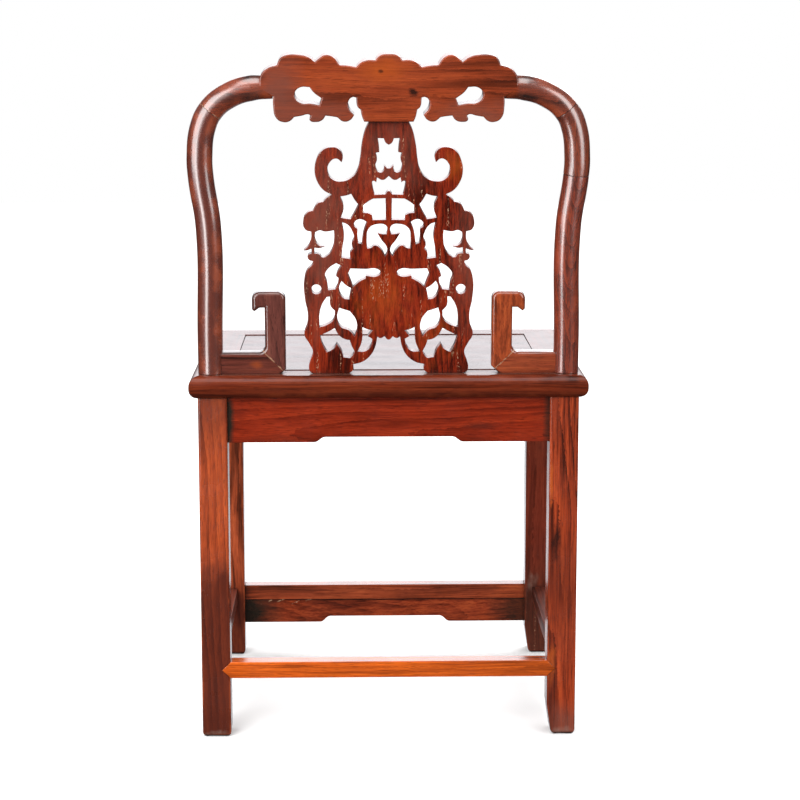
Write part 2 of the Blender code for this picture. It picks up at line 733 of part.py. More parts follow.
def housed_apron(name, side, top, drop, lift, frame, legs):
    """An apron set back from the legs' outer faces, with its ends let into them."""
    half_length = leg_half_span(side) + APRON_HOUSING
    middle = leg_outer_face(side) - APRON_RECESS - APRON_THICKNESS / 2
    apron = stepped_apron(name, half_length, top, drop, lift,
                          frame @ Matrix.Translation((0, middle, 0)))
    reach = half_length + CLEARANCE
    half = APRON_THICKNESS / 2 + CLEARANCE
    housing = box("housing", (-reach, middle - half, top - drop - CLEARANCE),
                  (reach, middle + half, top + CLEARANCE * 2), frame)
    for leg in SIDE_LEGS[side]:
        cut(legs[leg], housing)
    return apron


def pointed_bar(name, half_span, grow, depth, frame):
    """A bar with a point at each end, the sides grown by a clearance."""
    top = STRETCHER_TOP + grow
    low = STRETCHER_TOP - STRETCHER_HEIGHT - grow
    middle = (top + low) / 2
    tip = half_span + SHOULDER_LENGTH + grow
    corners = ((half_span, top, 0), (tip, middle, 0), (half_span, low, 0),
               (-half_span, low, 0), (-tip, middle, 0), (-half_span, top, 0))
    return board(name, [rounded(corners)], depth, frame @ UPRIGHT)


def make_stretchers(legs):
    """Stretchers flush with the legs, with a pointed outer shoulder and a tenon behind it."""
    stretchers = []
    for side, frame in SIDE_FRAMES.items():
        outer = leg_outer_face(side)
        half_span = leg_half_span(side) - CLEARANCE
        depth = STRETCHER_DEPTH if side in ("rear", "front") else SIDE_STRETCHER_DEPTH
        inner = outer - depth
        centred = frame @ Matrix.Translation((0, (outer + inner) / 2, 0))
        bar = pointed_bar(f"stretcher_{side}", half_span, 0.0, depth, centred)
        soften(bar, STRETCHER_EDGE_RADIUS)

        # The leg is cut for the point, and the bar loses the point behind its outer face
        cut_depth = SHOULDER_DEPTH + CLEARANCE
        shown = frame @ Matrix.Translation((0, outer - cut_depth / 2 + CLEARANCE, 0))
        notch = pointed_bar("shoulder_notch", half_span, CLEARANCE, cut_depth + 2 * CLEARANCE, shown)
        reach = half_span + SHOULDER_LENGTH * 2
        low = STRETCHER_TOP - STRETCHER_HEIGHT * 2
        high = STRETCHER_TOP + STRETCHER_HEIGHT
        for leg in SIDE_LEGS[side]:
            cut(legs[leg], notch)
        for start, end in ((half_span, reach), (-reach, -half_span)):
            cut(bar, box("point_back", (start, inner - depth, low),
                         (end, outer - SHOULDER_DEPTH, high), frame))

        middle = outer - STRETCHER_TENON_SETBACK - STRETCHER_TENON_THICKNESS / 2
        half_thickness = STRETCHER_TENON_THICKNESS / 2
        reach = half_span + STRETCHER_TENON_LENGTH
        level = STRETCHER_TOP - STRETCHER_HEIGHT / 2
        half_height = STRETCHER_TENON_HEIGHT / 2
        tenon(bar, [legs[leg] for leg in SIDE_LEGS[side]],
              (-reach, middle - half_thickness, level - half_height),
              (reach, middle + half_thickness, level + half_height), frame)
        stretchers.append(bar)
    return stretchers


def make_splat(rear_rail, top_rail):
    """The fretted board, tenoned into the crest above and the rear seat rail below."""
    wide = SPLAT_WIDTH / 2 / max(x for run in SPLAT_EDGE for x, y in run)
    height = CREST_BOTTOM - CLEARANCE
    high = height / max(y for run in SPLAT_EDGE for x, y in run)
    eye_x, eye_y, eye_radius = SPLAT_EYE
    eye = [(eye_x + eye_radius, eye_y, False), (eye_x, eye_y + eye_radius, False),
           (eye_x - eye_radius, eye_y, False), (eye_x, eye_y - eye_radius, False)]
    outlines = [whole(carved(SPLAT_EDGE))]
    outlines += [whole(carved(runs)) for runs in SPLAT_MIDDLE_OPENINGS]
    for opening in [carved(runs) for runs in SPLAT_SIDE_OPENINGS] + [eye]:
        outlines += [opening, flipped(opening)]
    outlines = [scaled(outline, wide, high) for outline in outlines]
    splat = board("back_splat", outlines, SPLAT_THICKNESS, BACK_FRAME @ UPRIGHT, CARVING_STEPS)
    stand_on_seat(splat)

    half_thickness = SPLAT_TENON_THICKNESS / 2
    half_width = SPLAT_TENON_WIDTH / 2
    tenon(splat, (top_rail,), (-half_width, -half_thickness, height - TENON_ROOT),
          (half_width, half_thickness, height + SPLAT_TENON_LENGTH), BACK_FRAME)
    foot_ends = [x * wide for run in SPLAT_EDGE for x, y in run if y < 0]
    foot_y = BACK_FRAME.translation.y
    for sign in (1, -1):
        x = sign * sum(foot_ends) / len(foot_ends)
        tenon(splat, (rear_rail,),
              (x - half_width, foot_y - half_thickness, SEAT_TOP - SPLAT_TENON_LENGTH),
              (x + half_width, foot_y + half_thickness, SEAT_TOP + TENON_ROOT), Matrix())
    return splat


def bracket_outline():
    """The whole hook bracket, with its foot running into the post on its +X side."""
    hook = BRACKET_BAR + HOOK_LENGTH
    tip = BRACKET_HEIGHT - HOOK_DROP
    hollow = tip + HOOK_HOLLOW
    below = -TENON_ROOT
    return rounded((
        (BRACKET_CHAMFER - below, below, 0),
        (BRACKET_REACH, below, 0),
        (BRACKET_REACH, BRACKET_FOOT, 0),
        (BRACKET_BAR, BRACKET_FOOT, BRACKET_FILLET),
        (BRACKET_BAR, hollow, 0),
        (BRACKET_BAR + HOOK_LENGTH / 2, hollow, HOOK_LENGTH / 4),
        (hook - HOOK_TIP_INSET, tip, 0),
        (hook, tip + HOOK_TIP_INSET, 0),
        (hook, BRACKET_HEIGHT, HOOK_CORNER_RADIUS),
        (0, BRACKET_HEIGHT, HOOK_CORNER_RADIUS),
        (0, BRACKET_CHAMFER, 0),
    ))


def make_brackets(legs):
    """Each hook bracket is two pieces, mitred at the corner and pegged, standing on the seat."""
    made = []
    for side, sign in (("left", 1), ("right", -1)):
        frame = BACK_FRAME @ Matrix.Translation((sign * (POST_X - BRACKET_REACH), 0, 0))
        outline = bracket_outline()
        if sign < 0:
            outline = flipped(outline)
        line = post_line(sign)
        clear_post = bent_rod("clear_post", stretch(line, "root", "splice"),
                              POST_DIAMETER / 2 + CLEARANCE)
        corner = frame @ Vector((sign * BRACKET_BAR, 0, BRACKET_FOOT))
        towards_hook = (BACK_FRAME.to_3x3() @ Vector((-sign, 0, 1))).normalized()
        foot = board(f"bracket_foot_{side}", [outline], BRACKET_THICKNESS, frame @ UPRIGHT)
        hook = board(f"bracket_hook_{side}", [outline], BRACKET_THICKNESS, frame @ UPRIGHT)
        gap = towards_hook * CLEARANCE / 2
        for piece, direction in ((foot, towards_hook), (hook, -towards_hook)):
            soften(piece, BRACKET_EDGE_RADIUS)
            stand_on_seat(piece)
            cut(piece, far_side("mitre", corner - (gap if piece is foot else -gap), direction))
        cut(foot, clear_post)
        level = BRACKET_FOOT / 2
        middle = frame @ Vector((sign * BRACKET_BAR / 2, 0, level + CLEARANCE))
        peg(foot, hook, middle, towards_hook, BRACKET_PEG_RADIUS, BRACKET_PEG_LENGTH)
        post_face = frame @ Vector((sign * (BRACKET_REACH - POST_DIAMETER / 2), 0, level))
        peg(foot, legs[f"rear_leg_{side}"], post_face, Vector((sign, 0, 0)),
            BRACKET_PEG_RADIUS, BRACKET_PEG_LENGTH)
        made += [foot, hook]
    return made


for leftover in list(bpy.data.objects):
    bpy.data.objects.remove(leftover)
parts = new_collection("carved_side_chair")
tools = new_collection("tools")

chair_legs = make_legs()
crest_rail, bend_piece = make_back_frame(chair_legs)
seat_rails = make_seat_rails(chair_legs)
seat_panel, seat_battens = make_seat_panel(seat_rails)
apron_pieces = make_aprons(chair_legs)
stretcher_pieces = make_stretchers(chair_legs)
splat_board = make_splat(seat_rails["rear"], crest_rail)
bracket_pieces = make_brackets(chair_legs)

for leg_piece in chair_legs.values():
    paint(leg_piece, RED_ROSEWOOD)
for brown_piece in [*seat_rails.values(), seat_panel, *seat_battens]:
    paint(brown_piece, BROWN_ROSEWOOD)
for red_piece in [*apron_pieces, crest_rail, bend_piece, splat_board]:
    paint(red_piece, RED_ROSEWOOD)
for orange_piece in stretcher_pieces:
    paint(orange_piece, ORANGE_ROSEWOOD)
for dark_piece in bracket_pieces:
    paint(dark_piece, DARK_ROSEWOOD)
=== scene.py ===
"""Looks of the carved side chair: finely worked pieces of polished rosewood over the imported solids."""
import math
from contextlib import contextmanager

import bmesh
import bpy
from mathutils import Matrix, Vector
from mathutils.bvhtree import BVHTree


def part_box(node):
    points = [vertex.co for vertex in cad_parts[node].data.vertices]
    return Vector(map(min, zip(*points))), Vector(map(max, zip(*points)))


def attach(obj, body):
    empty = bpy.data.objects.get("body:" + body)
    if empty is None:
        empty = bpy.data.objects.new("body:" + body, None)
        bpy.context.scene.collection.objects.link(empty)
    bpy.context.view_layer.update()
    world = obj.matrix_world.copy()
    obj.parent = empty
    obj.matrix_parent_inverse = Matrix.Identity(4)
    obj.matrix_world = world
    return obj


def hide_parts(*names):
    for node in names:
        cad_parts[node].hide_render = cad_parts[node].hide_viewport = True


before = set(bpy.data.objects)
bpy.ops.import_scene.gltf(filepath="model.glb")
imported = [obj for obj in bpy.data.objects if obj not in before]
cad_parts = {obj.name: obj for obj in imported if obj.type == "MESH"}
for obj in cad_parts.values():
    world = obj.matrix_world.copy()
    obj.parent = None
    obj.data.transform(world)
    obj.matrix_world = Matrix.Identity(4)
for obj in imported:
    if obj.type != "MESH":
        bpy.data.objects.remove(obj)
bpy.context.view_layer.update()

# Places read from the solids
SEAT_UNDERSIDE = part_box("seat_rail_rear")[0].z
SEAT_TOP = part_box("seat_rail_rear")[1].z
SEAT_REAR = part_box("seat_rail_rear")[1].y
SEAT_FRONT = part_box("seat_rail_front")[0].y
SEAT_MIDDLE_Y = (SEAT_REAR + SEAT_FRONT) / 2
PANEL_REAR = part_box("seat_rail_rear")[0].y
PANEL_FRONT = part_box("seat_rail_front")[1].y
PANEL_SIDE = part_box("seat_rail_left")[0].x
LEG_LOW, LEG_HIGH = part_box("front_leg_left")
LEG_X = (LEG_LOW.x + LEG_HIGH.x) / 2
LEG_Y = SEAT_MIDDLE_Y - (LEG_LOW.y + LEG_HIGH.y) / 2
LEG_HALF = (LEG_HIGH.x - LEG_LOW.x) / 2
REAR_Y = SEAT_MIDDLE_Y + LEG_Y

# Sizes of the joints and edges that show
GAP = 0.0003
LEG_EDGE = 0.0028
FOOT_EDGE = 0.0062
FOOT_WEAR = 0.0060
WEAR_HEIGHT = 0.042
NOSE_RADIUS = 0.013
EASED = 0.0005
PANEL_GAP = 0.0006
PANEL_SINK = 0.0012
PANEL_PROUD = 0.0009
PANEL_EDGE = 0.0007
BATTEN_EDGE = 0.0015
APRON_HOUSING = 0.005
APRON_RECESS = 0.006
APRON_EDGE = 0.0010
STEP_START = 0.116
STEP_WIDTH = 0.009
STEP_RADIUS = 0.010
STEP_LIFT = 0.007
LOW_STEP_LIFT = 0.009
STRETCHER_EDGE = 0.0011
SHOULDER_LENGTH = 0.0116
SHOULDER_DEPTH = 0.011

# How near two points count as one, and how far a tool reaches past the wood
SLIVER = 0.000005
WELD = 0.00001
NEAR = 0.0001
SPARE = 0.02

# How finely the edges, curves and carving are made
EASED_STEPS = 2
FOOT_STEPS = 3
LEG_STEPS = 4
NOSE_STEPS = 10
ARC_STEPS = 8
CREST_STEPS = 8
SPLAT_STEPS = 6
BOARD_EDGE_STEPS = 3
ROD_STEPS = 14
REFINING_ROUNDS = 8
SMOOTH_ANGLE = math.radians(35.0)

# How straight up a face of the front looks at least, and a wall at most
FRONT_FACING = 0.999
WALL_FACING = 0.2

# The round back frame
POST_RADIUS = 0.0165
POST_X = LEG_X + 0.0025
POST_ROOT = -0.030
POST_FOOT_EDGE = 0.0006
POST_TENON_RADIUS = 0.013
TENON_OVERLAP = 0.012
JOINT_EDGE = 0.0004
BACK_LEAN = math.radians(6.0)
LEAN_START = 0.025
BACK_HEIGHT = 0.3735
RISE_HEIGHT = 0.048
WAIST_HEIGHT = 0.195
WAIST_INSET = 0.0008
SHOULDER_SPREAD = 0.0085
BEND_POINTS = {
    "splice": (0.0008, 0.1115),
    "shoulder": (0.0, 0.0885),
    "turn": (0.0050, 0.0500),
    "bend": (0.0155, 0.0285),
    "arch": (0.0370, 0.0105),
}

# Crest, splat and hook brackets; a carving is its bead, groove, dome, depth and fineness
CREST_WIDTH = 0.326
CREST_HEIGHT = 0.0860
CREST_BOTTOM = BACK_HEIGHT - 0.0412
CREST_THICKNESS = 0.030
CREST_EDGE_RADIUS = 0.0020
CREST_CARVING = (0.0032, 0.0048, 0.014, 0.0012, 0.0020)
DOME_RISE = 0.85
ROD_IN_CREST = 0.016
ROD_LEAD = 0.010
ROD_END_RADIUS = 0.0138
SPLAT_WIDTH = 0.220
SPLAT_THICKNESS = 0.014
SPLAT_EDGE_RADIUS = 0.0008
SPLAT_CARVING = (0.0016, 0.0028, 0.009, 0.0010, 0.0017)
BRACKET_REACH = 0.0985
BRACKET_HEIGHT = 0.1100
BRACKET_BELOW = -0.004
BRACKET_BAR = 0.027
BRACKET_FOOT = 0.029
BRACKET_THICKNESS = 0.020
BRACKET_EDGE = 0.0046
BRACKET_FILLET = 0.009
BRACKET_CHAMFERS = {"left": 0.0065, "right": 0.0105}
HOOK_LENGTH = 0.0163
HOOK_NOTCH = 0.0065
HOOK_DROP = 0.0260
HOOK_TIP_INSET = 0.003
HOOK_HOLLOW = 0.005
HOOK_CORNER_RADIUS = 0.0100

# The leaning plane of the back, with its heights counted from the seat
UPRIGHT = Matrix.Rotation(math.pi / 2, 4, "X")
BACK_FRAME = (Matrix.Translation((0, REAR_Y, SEAT_TOP + LEAN_START))
              @ Matrix.Rotation(-BACK_LEAN, 4, "X")
              @ Matrix.Translation((0, 0, -LEAN_START)))
BACK_NORMAL = BACK_FRAME.to_3x3() @ Vector((0, 1, 0))

# The four sides: the turn that brings each from the rear, half the width between its legs, and
# how far its legs reach from the middle
SIDES = {
    "rear": (0.0, LEG_X - LEG_HALF, LEG_Y + LEG_HALF),
    "left": (-math.pi / 2, LEG_Y - LEG_HALF, LEG_X + LEG_HALF),
    "front": (math.pi, LEG_X - LEG_HALF, LEG_Y + LEG_HALF),
    "right": (math.pi / 2, LEG_Y - LEG_HALF, LEG_X + LEG_HALF),
}

# The slot for each word in a node's name; the first word found counts
SLOTS = {"top_rail": "back", "splat": "back", "bend": "back", "apron": "aprons", "leg": "legs",
         "seat": "seat", "stretcher": "stretchers", "bracket": "brackets"}

# Drawn outlines in millimetres; each run begins at a sharp corner and is smooth after it
SPLAT_EDGE = (
    ((25, 330), (30, 319), (34.5, 300), (36.5, 283), (40, 268), (47, 258.5), (60, 253.3),
     (72, 256), (78, 266), (75, 278), (67, 282.5)),
    ((60, 277.8), (58.6, 285), (63.5, 294.5), (74, 297), (85, 292.5), (92.5, 280),
     (94.5, 265), (90, 250.5), (82, 241)),
    ((73, 236.5), (79.5, 232)),
    ((84, 227), (91, 225)),
    ((97, 215.7), (104.5, 213), (110, 202), (107, 191)),
    ((99.7, 188.3), (99.7, 180), (103, 170.5)),
    ((110, 163.7), (105, 164)),
    ((99.6, 166),),
    ((99.3, 160), (104.3, 157.5), (103, 151.7)),
    ((98, 149.7), (98.2, 146), (105, 138.5), (109, 127), (108.5, 100), (105, 81), (106, 66),
     (109.7, 53), (103, 40), (98.8, 30), (102.5, 17), (104.2, 9), (102.3, 2.5)),
    ((97, 0.3),),
    ((97, -4),),
    ((52, -4.4),),
    ((52, 0), (46, 5.5)),
    ((46.5, 12.5), (35, 15.5), (24, 24), (17.5, 36)),
    ((14.8, 49.5), (10.5, 47.5)),
    ((5.5, 50), (0, 45.4)),
)
SPLAT_MIDDLE_OPENINGS = (
    # Between the bat and the top
    (((0, 300), (4, 302.7)), ((6.5, 308.3),), ((14.2, 308.5), (12.6, 299)), ((12, 290.8),),
     ((16.8, 289.8), (15, 282), (17, 273), (12, 264.8), (7, 266.5)), ((6, 273.7), (0, 269.8))),
    # Under the bat
    (((0, 260), (7.5, 255)), ((15, 258.2),), ((16, 252), (19.5, 254)), ((21.5, 252.7), (20, 243)),
     ((18.2, 236),), ((4.4, 236.5), (0, 241))),
)
SPLAT_SIDE_OPENINGS = (
    # Beside the middle post
    (((4, 231.5),), ((20, 231), (25.5, 228)), ((32.8, 222.4),), ((32.6, 212.7), (26, 212)),
     ((21.2, 209.5),), ((20.7, 203.3),), ((3.8, 203.6),)),
    # Under the horn
    (((62.5, 233.8), (55, 235)), ((48, 237.2), (44, 230)), ((39, 223.2), (44, 213.3)),
     ((49, 204.5), (55, 205.2)), ((61.3, 206.5), (57.8, 219))),
    # Inside the curl
    (((28, 200.5), (32, 190), (34, 179)), ((34.7, 171.7),), ((39.3, 173.5), (40.3, 182)),
     ((40, 191.7), (44.7, 196.5), (41, 203.3), (34, 203.9))),
    # Slender gap beside the curl
    (((60.3, 200.5), (53, 197.5), (46.5, 188), (44.8, 179.5)), ((47.6, 174.5), (47.5, 169.5)),
     ((45.8, 166.3), (50, 160)), ((49.3, 152.6),), ((60.8, 154.3), (59.5, 168), (57.5, 182))),
    # Beside the thin stem and its leaf
    (((94.5, 187.5), (89, 190), (82, 188.4)),
     ((70.5, 190), (70.2, 180), (73, 165), (80, 156.5), (85.5, 154.7), (89.5, 158.8)),
     ((95.8, 159.8),), ((95.8, 167.5), (90, 166.7)), ((81.7, 169.2), (89.5, 170.2), (94.8, 178.5))),
    # Arch with a leaf over the vase
    (((27.8, 166.2), (28.3, 178), (25.5, 192.5), (13, 198.2), (3.5, 196), (1.8, 191)),
     ((3, 185), (8, 185)), ((14.8, 186.6), (9, 177), (2.8, 168.5), (2, 161.5)),
     ((4.8, 155.8), (9.5, 164.8), (17.5, 170.3), (23, 167))),
    # Slot over the vase's shoulder
    (((49.5, 140), (30, 139.4), (14.5, 139.2), (10.6, 134.7), (14.5, 130)), ((29.6, 130.5),),
     ((29.8, 127), (39, 122)), ((46.2, 115.4), (48.8, 123)), ((52.8, 132.7),)),
    # Beside the upper leaf
    (((68, 147),), ((61.3, 143.8), (66, 136)), ((68, 130),), ((65, 127.7), (66, 118.5)),
     ((69.3, 112.7),), ((78.5, 111.5), (80, 122.5), (82.5, 131.5), (77, 141))),
    # Between the vine and the vase
    (((61, 123.5), (54.5, 117.5)), ((48.2, 113.9), (50, 107)),
     ((51.3, 99.4), (58, 100.6), (64, 110), (63.8, 117))),
    # Lens beside the outer edge
    (((80.3, 102.6),), ((76.2, 103), (75.5, 91)), ((69.8, 84.2), (71.5, 72.5), (79.5, 65.8)),
     ((90, 62), (90, 78), (86.5, 92.5))),
    # Beside the foot of the vase
    (((64.3, 88.2), (58, 86)), ((50.5, 83.7), (42.5, 72), (41.5, 58)),
     ((44.5, 50), (51, 57.7), (62.5, 63), (67, 74))),
    # Over the splat's foot
    (((89.5, 51.5), (79, 56.2)), ((70.2, 61), (64.5, 51.5), (57, 46.3)), ((50.7, 45), (48.5, 38)),
     ((44.4, 30), (46.7, 24.8)), ((50.5, 20.8),), ((58.7, 22), (61.8, 31)), ((67.6, 40), (72, 33.5)),
     ((80.6, 28.8), (86.5, 40))),
    # Between the vase and the lower scroll
    (((34, 62.3), (28, 59.5)), ((21, 58),), ((27.3, 50.2),), ((21, 46.4), (23.5, 36.5), (30.5, 30)),
     ((40.3, 29.8), (35, 43))),
)
SPLAT_EYE = (93.5, 112.7, 6.5)
CREST_EDGE = (
    ((0, 88), (8, 87.3), (14, 83.7)),
    ((17, 79.8), (27, 80), (36, 76.3)),
    ((41.3, 70.9), (51, 72.8)),
    ((62, 73.7), (69, 83), (79, 86.8), (88, 82)),
    ((92.8, 77.7), (102, 84.3), (114, 87), (128, 86.7), (136.5, 82.5)),
    ((140.7, 73.5), (152, 69.8), (161, 61), (163, 50)),
    ((162, 42),),
    ((145.7, 33), (146, 22), (142, 4.5), (133, -0.5), (125, 1)),
    ((119.5, 6.3), (110, 8), (102, 9.8)),
    ((98.7, 8), (100, 2.2), (92, -0.3), (84, 2.4)),
    ((80, 8), (73, 7.2)),
    ((65.5, 6), (57, 0.2), (48.5, 2.5)),
    ((43.8, 8.8), (50.5, 17.5), (50.5, 28), (45.5, 32.2)),
    ((41.3, 31.5), (39.5, 19.5)),
    ((35.8, 15.8), (34, 7)),
    ((31.2, 0),),
)
CREST_OPENING = (
    ((100, 45.2), (95, 38.5)),
    ((84.7, 30.5),),
    ((87.8, 21.7), (99, 23.8), (110, 24.2), (117.5, 30), (118.5, 38), (112, 44.7)),
)


# Workbench: selecting, shaping and joining

def select_only(piece):
    """Leave just one piece selected, in object mode."""
    if bpy.context.object and bpy.context.object.mode != "OBJECT":
        bpy.ops.object.mode_set(mode="OBJECT")
    bpy.ops.object.select_all(action="DESELECT")
    bpy.context.view_layer.objects.active = piece
    piece.select_set(True)


def pick(piece, kind, wanted):
    """In edit mode, select the corners, edges or faces that pass a test."""
    bpy.ops.mesh.select_mode(type=kind)
    bpy.ops.mesh.select_all(action="DESELECT")
    shape = bmesh.from_edit_mesh(piece.data)
    for part in {"VERT": shape.verts, "EDGE": shape.edges, "FACE": shape.faces}[kind]:
        part.select_set(wanted(part))
    if kind == "VERT":
        shape.select_flush(True)
    bmesh.update_edit_mesh(piece.data)


@contextmanager
def opened(piece, kind=None, wanted=None):
    """Edit mode, with the whole piece selected or just what passes a test."""
    select_only(piece)
    bpy.ops.object.mode_set(mode="EDIT")
    if kind:
        pick(piece, kind, wanted)
    else:
        bpy.ops.mesh.select_all(action="SELECT")
    yield
    bpy.ops.object.mode_set(mode="OBJECT")


def apply_step(piece, step):
    """Make a modifier's work part of the mesh."""
    select_only(piece)
    bpy.ops.object.modifier_apply(modifier=step.name)


def place(piece, matrix):
    """Move a piece to its place and leave its object at the origin."""
    piece.matrix_world = matrix
    select_only(piece)
    bpy.ops.object.transform_apply(location=True, rotation=True, scale=True)
    return piece


def block(name, low, high):
    """A squared piece of timber between two corners."""
    low, high = Vector(low), Vector(high)
    bpy.ops.mesh.primitive_cube_add(size=1.0)
    piece = bpy.context.object
    piece.name = name
    return place(piece, Matrix.LocRotScale((low + high) / 2, None, high - low))


def level(start, end):
    return abs(start.z - end.z) < NEAR


def bevel(width, steps=EASED_STEPS):
    bpy.ops.mesh.bevel(offset=width, segments=steps, profile=0.5, affect="EDGES")


def round_edges(piece, width, steps, wanted):
    """Plane an arc along the edges whose two ends pass a test."""
    with opened(piece, "EDGE", lambda edge: wanted(*(vert.co for vert in edge.verts))):
        bevel(width, steps)
    return piece


def ease_all(piece, width):
    """Take the sharpness off every edge."""
    return round_edges(piece, width, EASED_STEPS, lambda start, end: True)


def push(piece, move, wanted):
    """Move the corners that pass a test."""
    with opened(piece, "VERT", lambda vert: wanted(vert.co)):
        bpy.ops.transform.translate(value=move)


def saw_off(piece, point, direction, eased=0.0):
    """Saw away what lies past a plane, close the cut and ease its rim."""
    with opened(piece):
        bpy.ops.mesh.bisect(plane_co=point, plane_no=direction, use_fill=True, clear_outer=True)
        if eased:
            bevel(eased)
    return piece


def saw_at_seat(piece, eased=0.0):
    """Saw a piece level, just above the seat that it stands on."""
    return saw_off(piece, (0, 0, SEAT_TOP + GAP), (0, 0, -1), eased)


def chisel(piece, tool, operation="DIFFERENCE"):
    """Cut a piece with another shape, or glue the two, and use the shape up."""
    step = piece.modifiers.new("chisel", "BOOLEAN")
    step.operation = operation
    step.solver = "EXACT"
    step.object = tool
    apply_step(piece, step)
    bpy.data.objects.remove(tool)


def from_curve(name, lines, closed=False, ends=1.0, **settings):
    """A mesh from smooth lines of (x, y, z, sharp) points, with its loose seams closed."""
    drawing = bpy.data.curves.new(name, "CURVE")
    for setting, value in settings.items():
        setattr(drawing, setting, value)
    for line in lines:
        spline = drawing.splines.new("BEZIER")
        spline.bezier_points.add(len(line) - 1)
        spline.use_cyclic_u = closed
        for knot, (x, y, z, sharp) in zip(spline.bezier_points, line):
            knot.co = (x, y, z)
            knot.handle_left_type = knot.handle_right_type = "VECTOR" if sharp else "AUTO"
        spline.bezier_points[-1].radius = ends
    piece = bpy.data.objects.new(name, drawing)
    bpy.context.scene.collection.objects.link(piece)
    select_only(piece)
    bpy.ops.object.convert(target="MESH")
    piece = bpy.context.object
    with opened(piece):
        bpy.ops.mesh.remove_doubles(threshold=WELD)
        bpy.ops.mesh.normals_make_consistent(inside=False)
    return piece


def in_front(face, front):
    return face.normal.z > FRONT_FACING and abs(face.calc_center_median().z - front) < WELD


def refine_front(piece, front, fineness):
    """Split the long edges inside the front face until all are short."""

    def long_inside(edge):
        inside = len(edge.link_faces) == 2 and all(in_front(face, front) for face in edge.link_faces)
        return inside and edge.calc_length() > fineness

    with opened(piece):
        for _ in range(REFINING_ROUNDS):
            pick(piece, "EDGE", long_inside)
            bpy.ops.mesh.subdivide(number_cuts=1)
            pick(piece, "FACE", lambda face: in_front(face, front))
            bpy.ops.mesh.quads_convert_to_tris()
            bpy.ops.mesh.beautify_fill()


def part_way(value, start, end):
    return min(max((value - start) / (end - start), 0.0), 1.0)


def carve_front(piece, front, bead, groove, dome, depth, fineness):
    """Carve a bead along every edge of the front face, a groove beside it and a domed field within."""
    refine_front(piece, front, fineness)
    mesh = piece.data
    walls = [face.vertices[:] for face in mesh.polygons if abs(face.normal.z) < WALL_FACING]
    edges = BVHTree.FromPolygons([vert.co for vert in mesh.vertices], walls)
    chosen = piece.vertex_groups.new(name="carving")
    for vert in mesh.vertices:
        if abs(vert.co.z - front) > WELD:
            continue
        inward = edges.find_nearest((vert.co.x, vert.co.y, 0))[3]
        fall = part_way(inward, bead, groove)
        rise = part_way(inward, groove, dome)
        weight = fall * fall * (3 - 2 * fall) * (1.0 - DOME_RISE * math.sin(rise * math.pi / 2))
        chosen.add([vert.index], weight, "REPLACE")
    step = piece.modifiers.new("carving", "DISPLACE")
    step.direction = "Z"
    step.mid_level = 0.0
    step.strength = -depth
    step.vertex_group = chosen.name
    apply_step(piece, step)
    piece.vertex_groups.clear()


def sawn_board(name, outlines, thick, edge, matrix, steps=1, carving=None):
    """A board sawn to outlines of (x, y, sharp) points, the first round the others, with rounded edges."""
    lines = [[(x, y, 0, sharp) for x, y, sharp in outline] for outline in outlines]
    piece = from_curve(name, lines, closed=True, dimensions="2D", fill_mode="BOTH",
                       extrude=thick / 2 - edge, bevel_depth=edge, bevel_resolution=BOARD_EDGE_STEPS,
                       offset=-edge, resolution_u=steps)
    if carving:
        carve_front(piece, thick / 2, *carving)
    return place(piece, matrix)


def bent_rod(name, points, radius, end_radius=None):
    """A round rod along a smooth line."""
    line = [(*point, False) for point in points]
    return from_curve(name, [line], ends=(end_radius or radius) / radius, dimensions="3D", bevel_depth=radius,
                      bevel_resolution=ROD_STEPS, resolution_u=ROD_STEPS, use_fill_caps=True)


# Drawn outlines as lists of (x, y, sharp) points

def carved(runs):
    return [(x, y, spot == 0) for run in runs for spot, (x, y) in enumerate(run)]


def flipped(outline):
    return [(-x, y, sharp) for x, y, sharp in reversed(outline)]


def whole(half):
    return half + [point for point in flipped(half) if point[0] < 0]


def scaled(outline, wide, high, lift=0.0):
    return [(x * wide, y * high + lift, sharp) for x, y, sharp in outline]


def extent(runs):
    """The greatest x, the least y and the greatest y of a drawing."""
    xs, ys, _ = zip(*carved(runs))
    return max(xs), min(ys), max(ys)


def rounded(corners):
    """A polygon of (x, y, radius) corners, each rounded by an arc."""
    outline = []
    for spot, (x, y, radius) in enumerate(corners):
        corner = Vector((x, y))
        before = (Vector(corners[spot - 1][:2]) - corner).normalized()
        after = (Vector(corners[(spot + 1) % len(corners)][:2]) - corner).normalized()
        if not radius:
            outline.append((x, y, True))
            continue
        half_angle = before.angle(after) / 2
        centre = corner + (before + after).normalized() * radius / math.sin(half_angle)
        reach = radius / math.tan(half_angle)
        start = corner + before * reach - centre
        sweep = start.angle_signed(corner + after * reach - centre)
        for step in range(ARC_STEPS + 1):
            spoke = start.copy()
            spoke.rotate(Matrix.Rotation(-sweep * step / ARC_STEPS, 2))
            outline.append((*(centre + spoke), True))
    return outline


# The line of the posts, as points by name

def back_point(x, height):
    """A point on the line of the posts, upright below the start of the lean."""
    lean = max(height - LEAN_START, 0.0)
    upright = min(height, LEAN_START)
    return Vector((x,
                   REAR_Y + lean * math.sin(BACK_LEAN),
                   SEAT_TOP + upright + lean * math.cos(BACK_LEAN)))


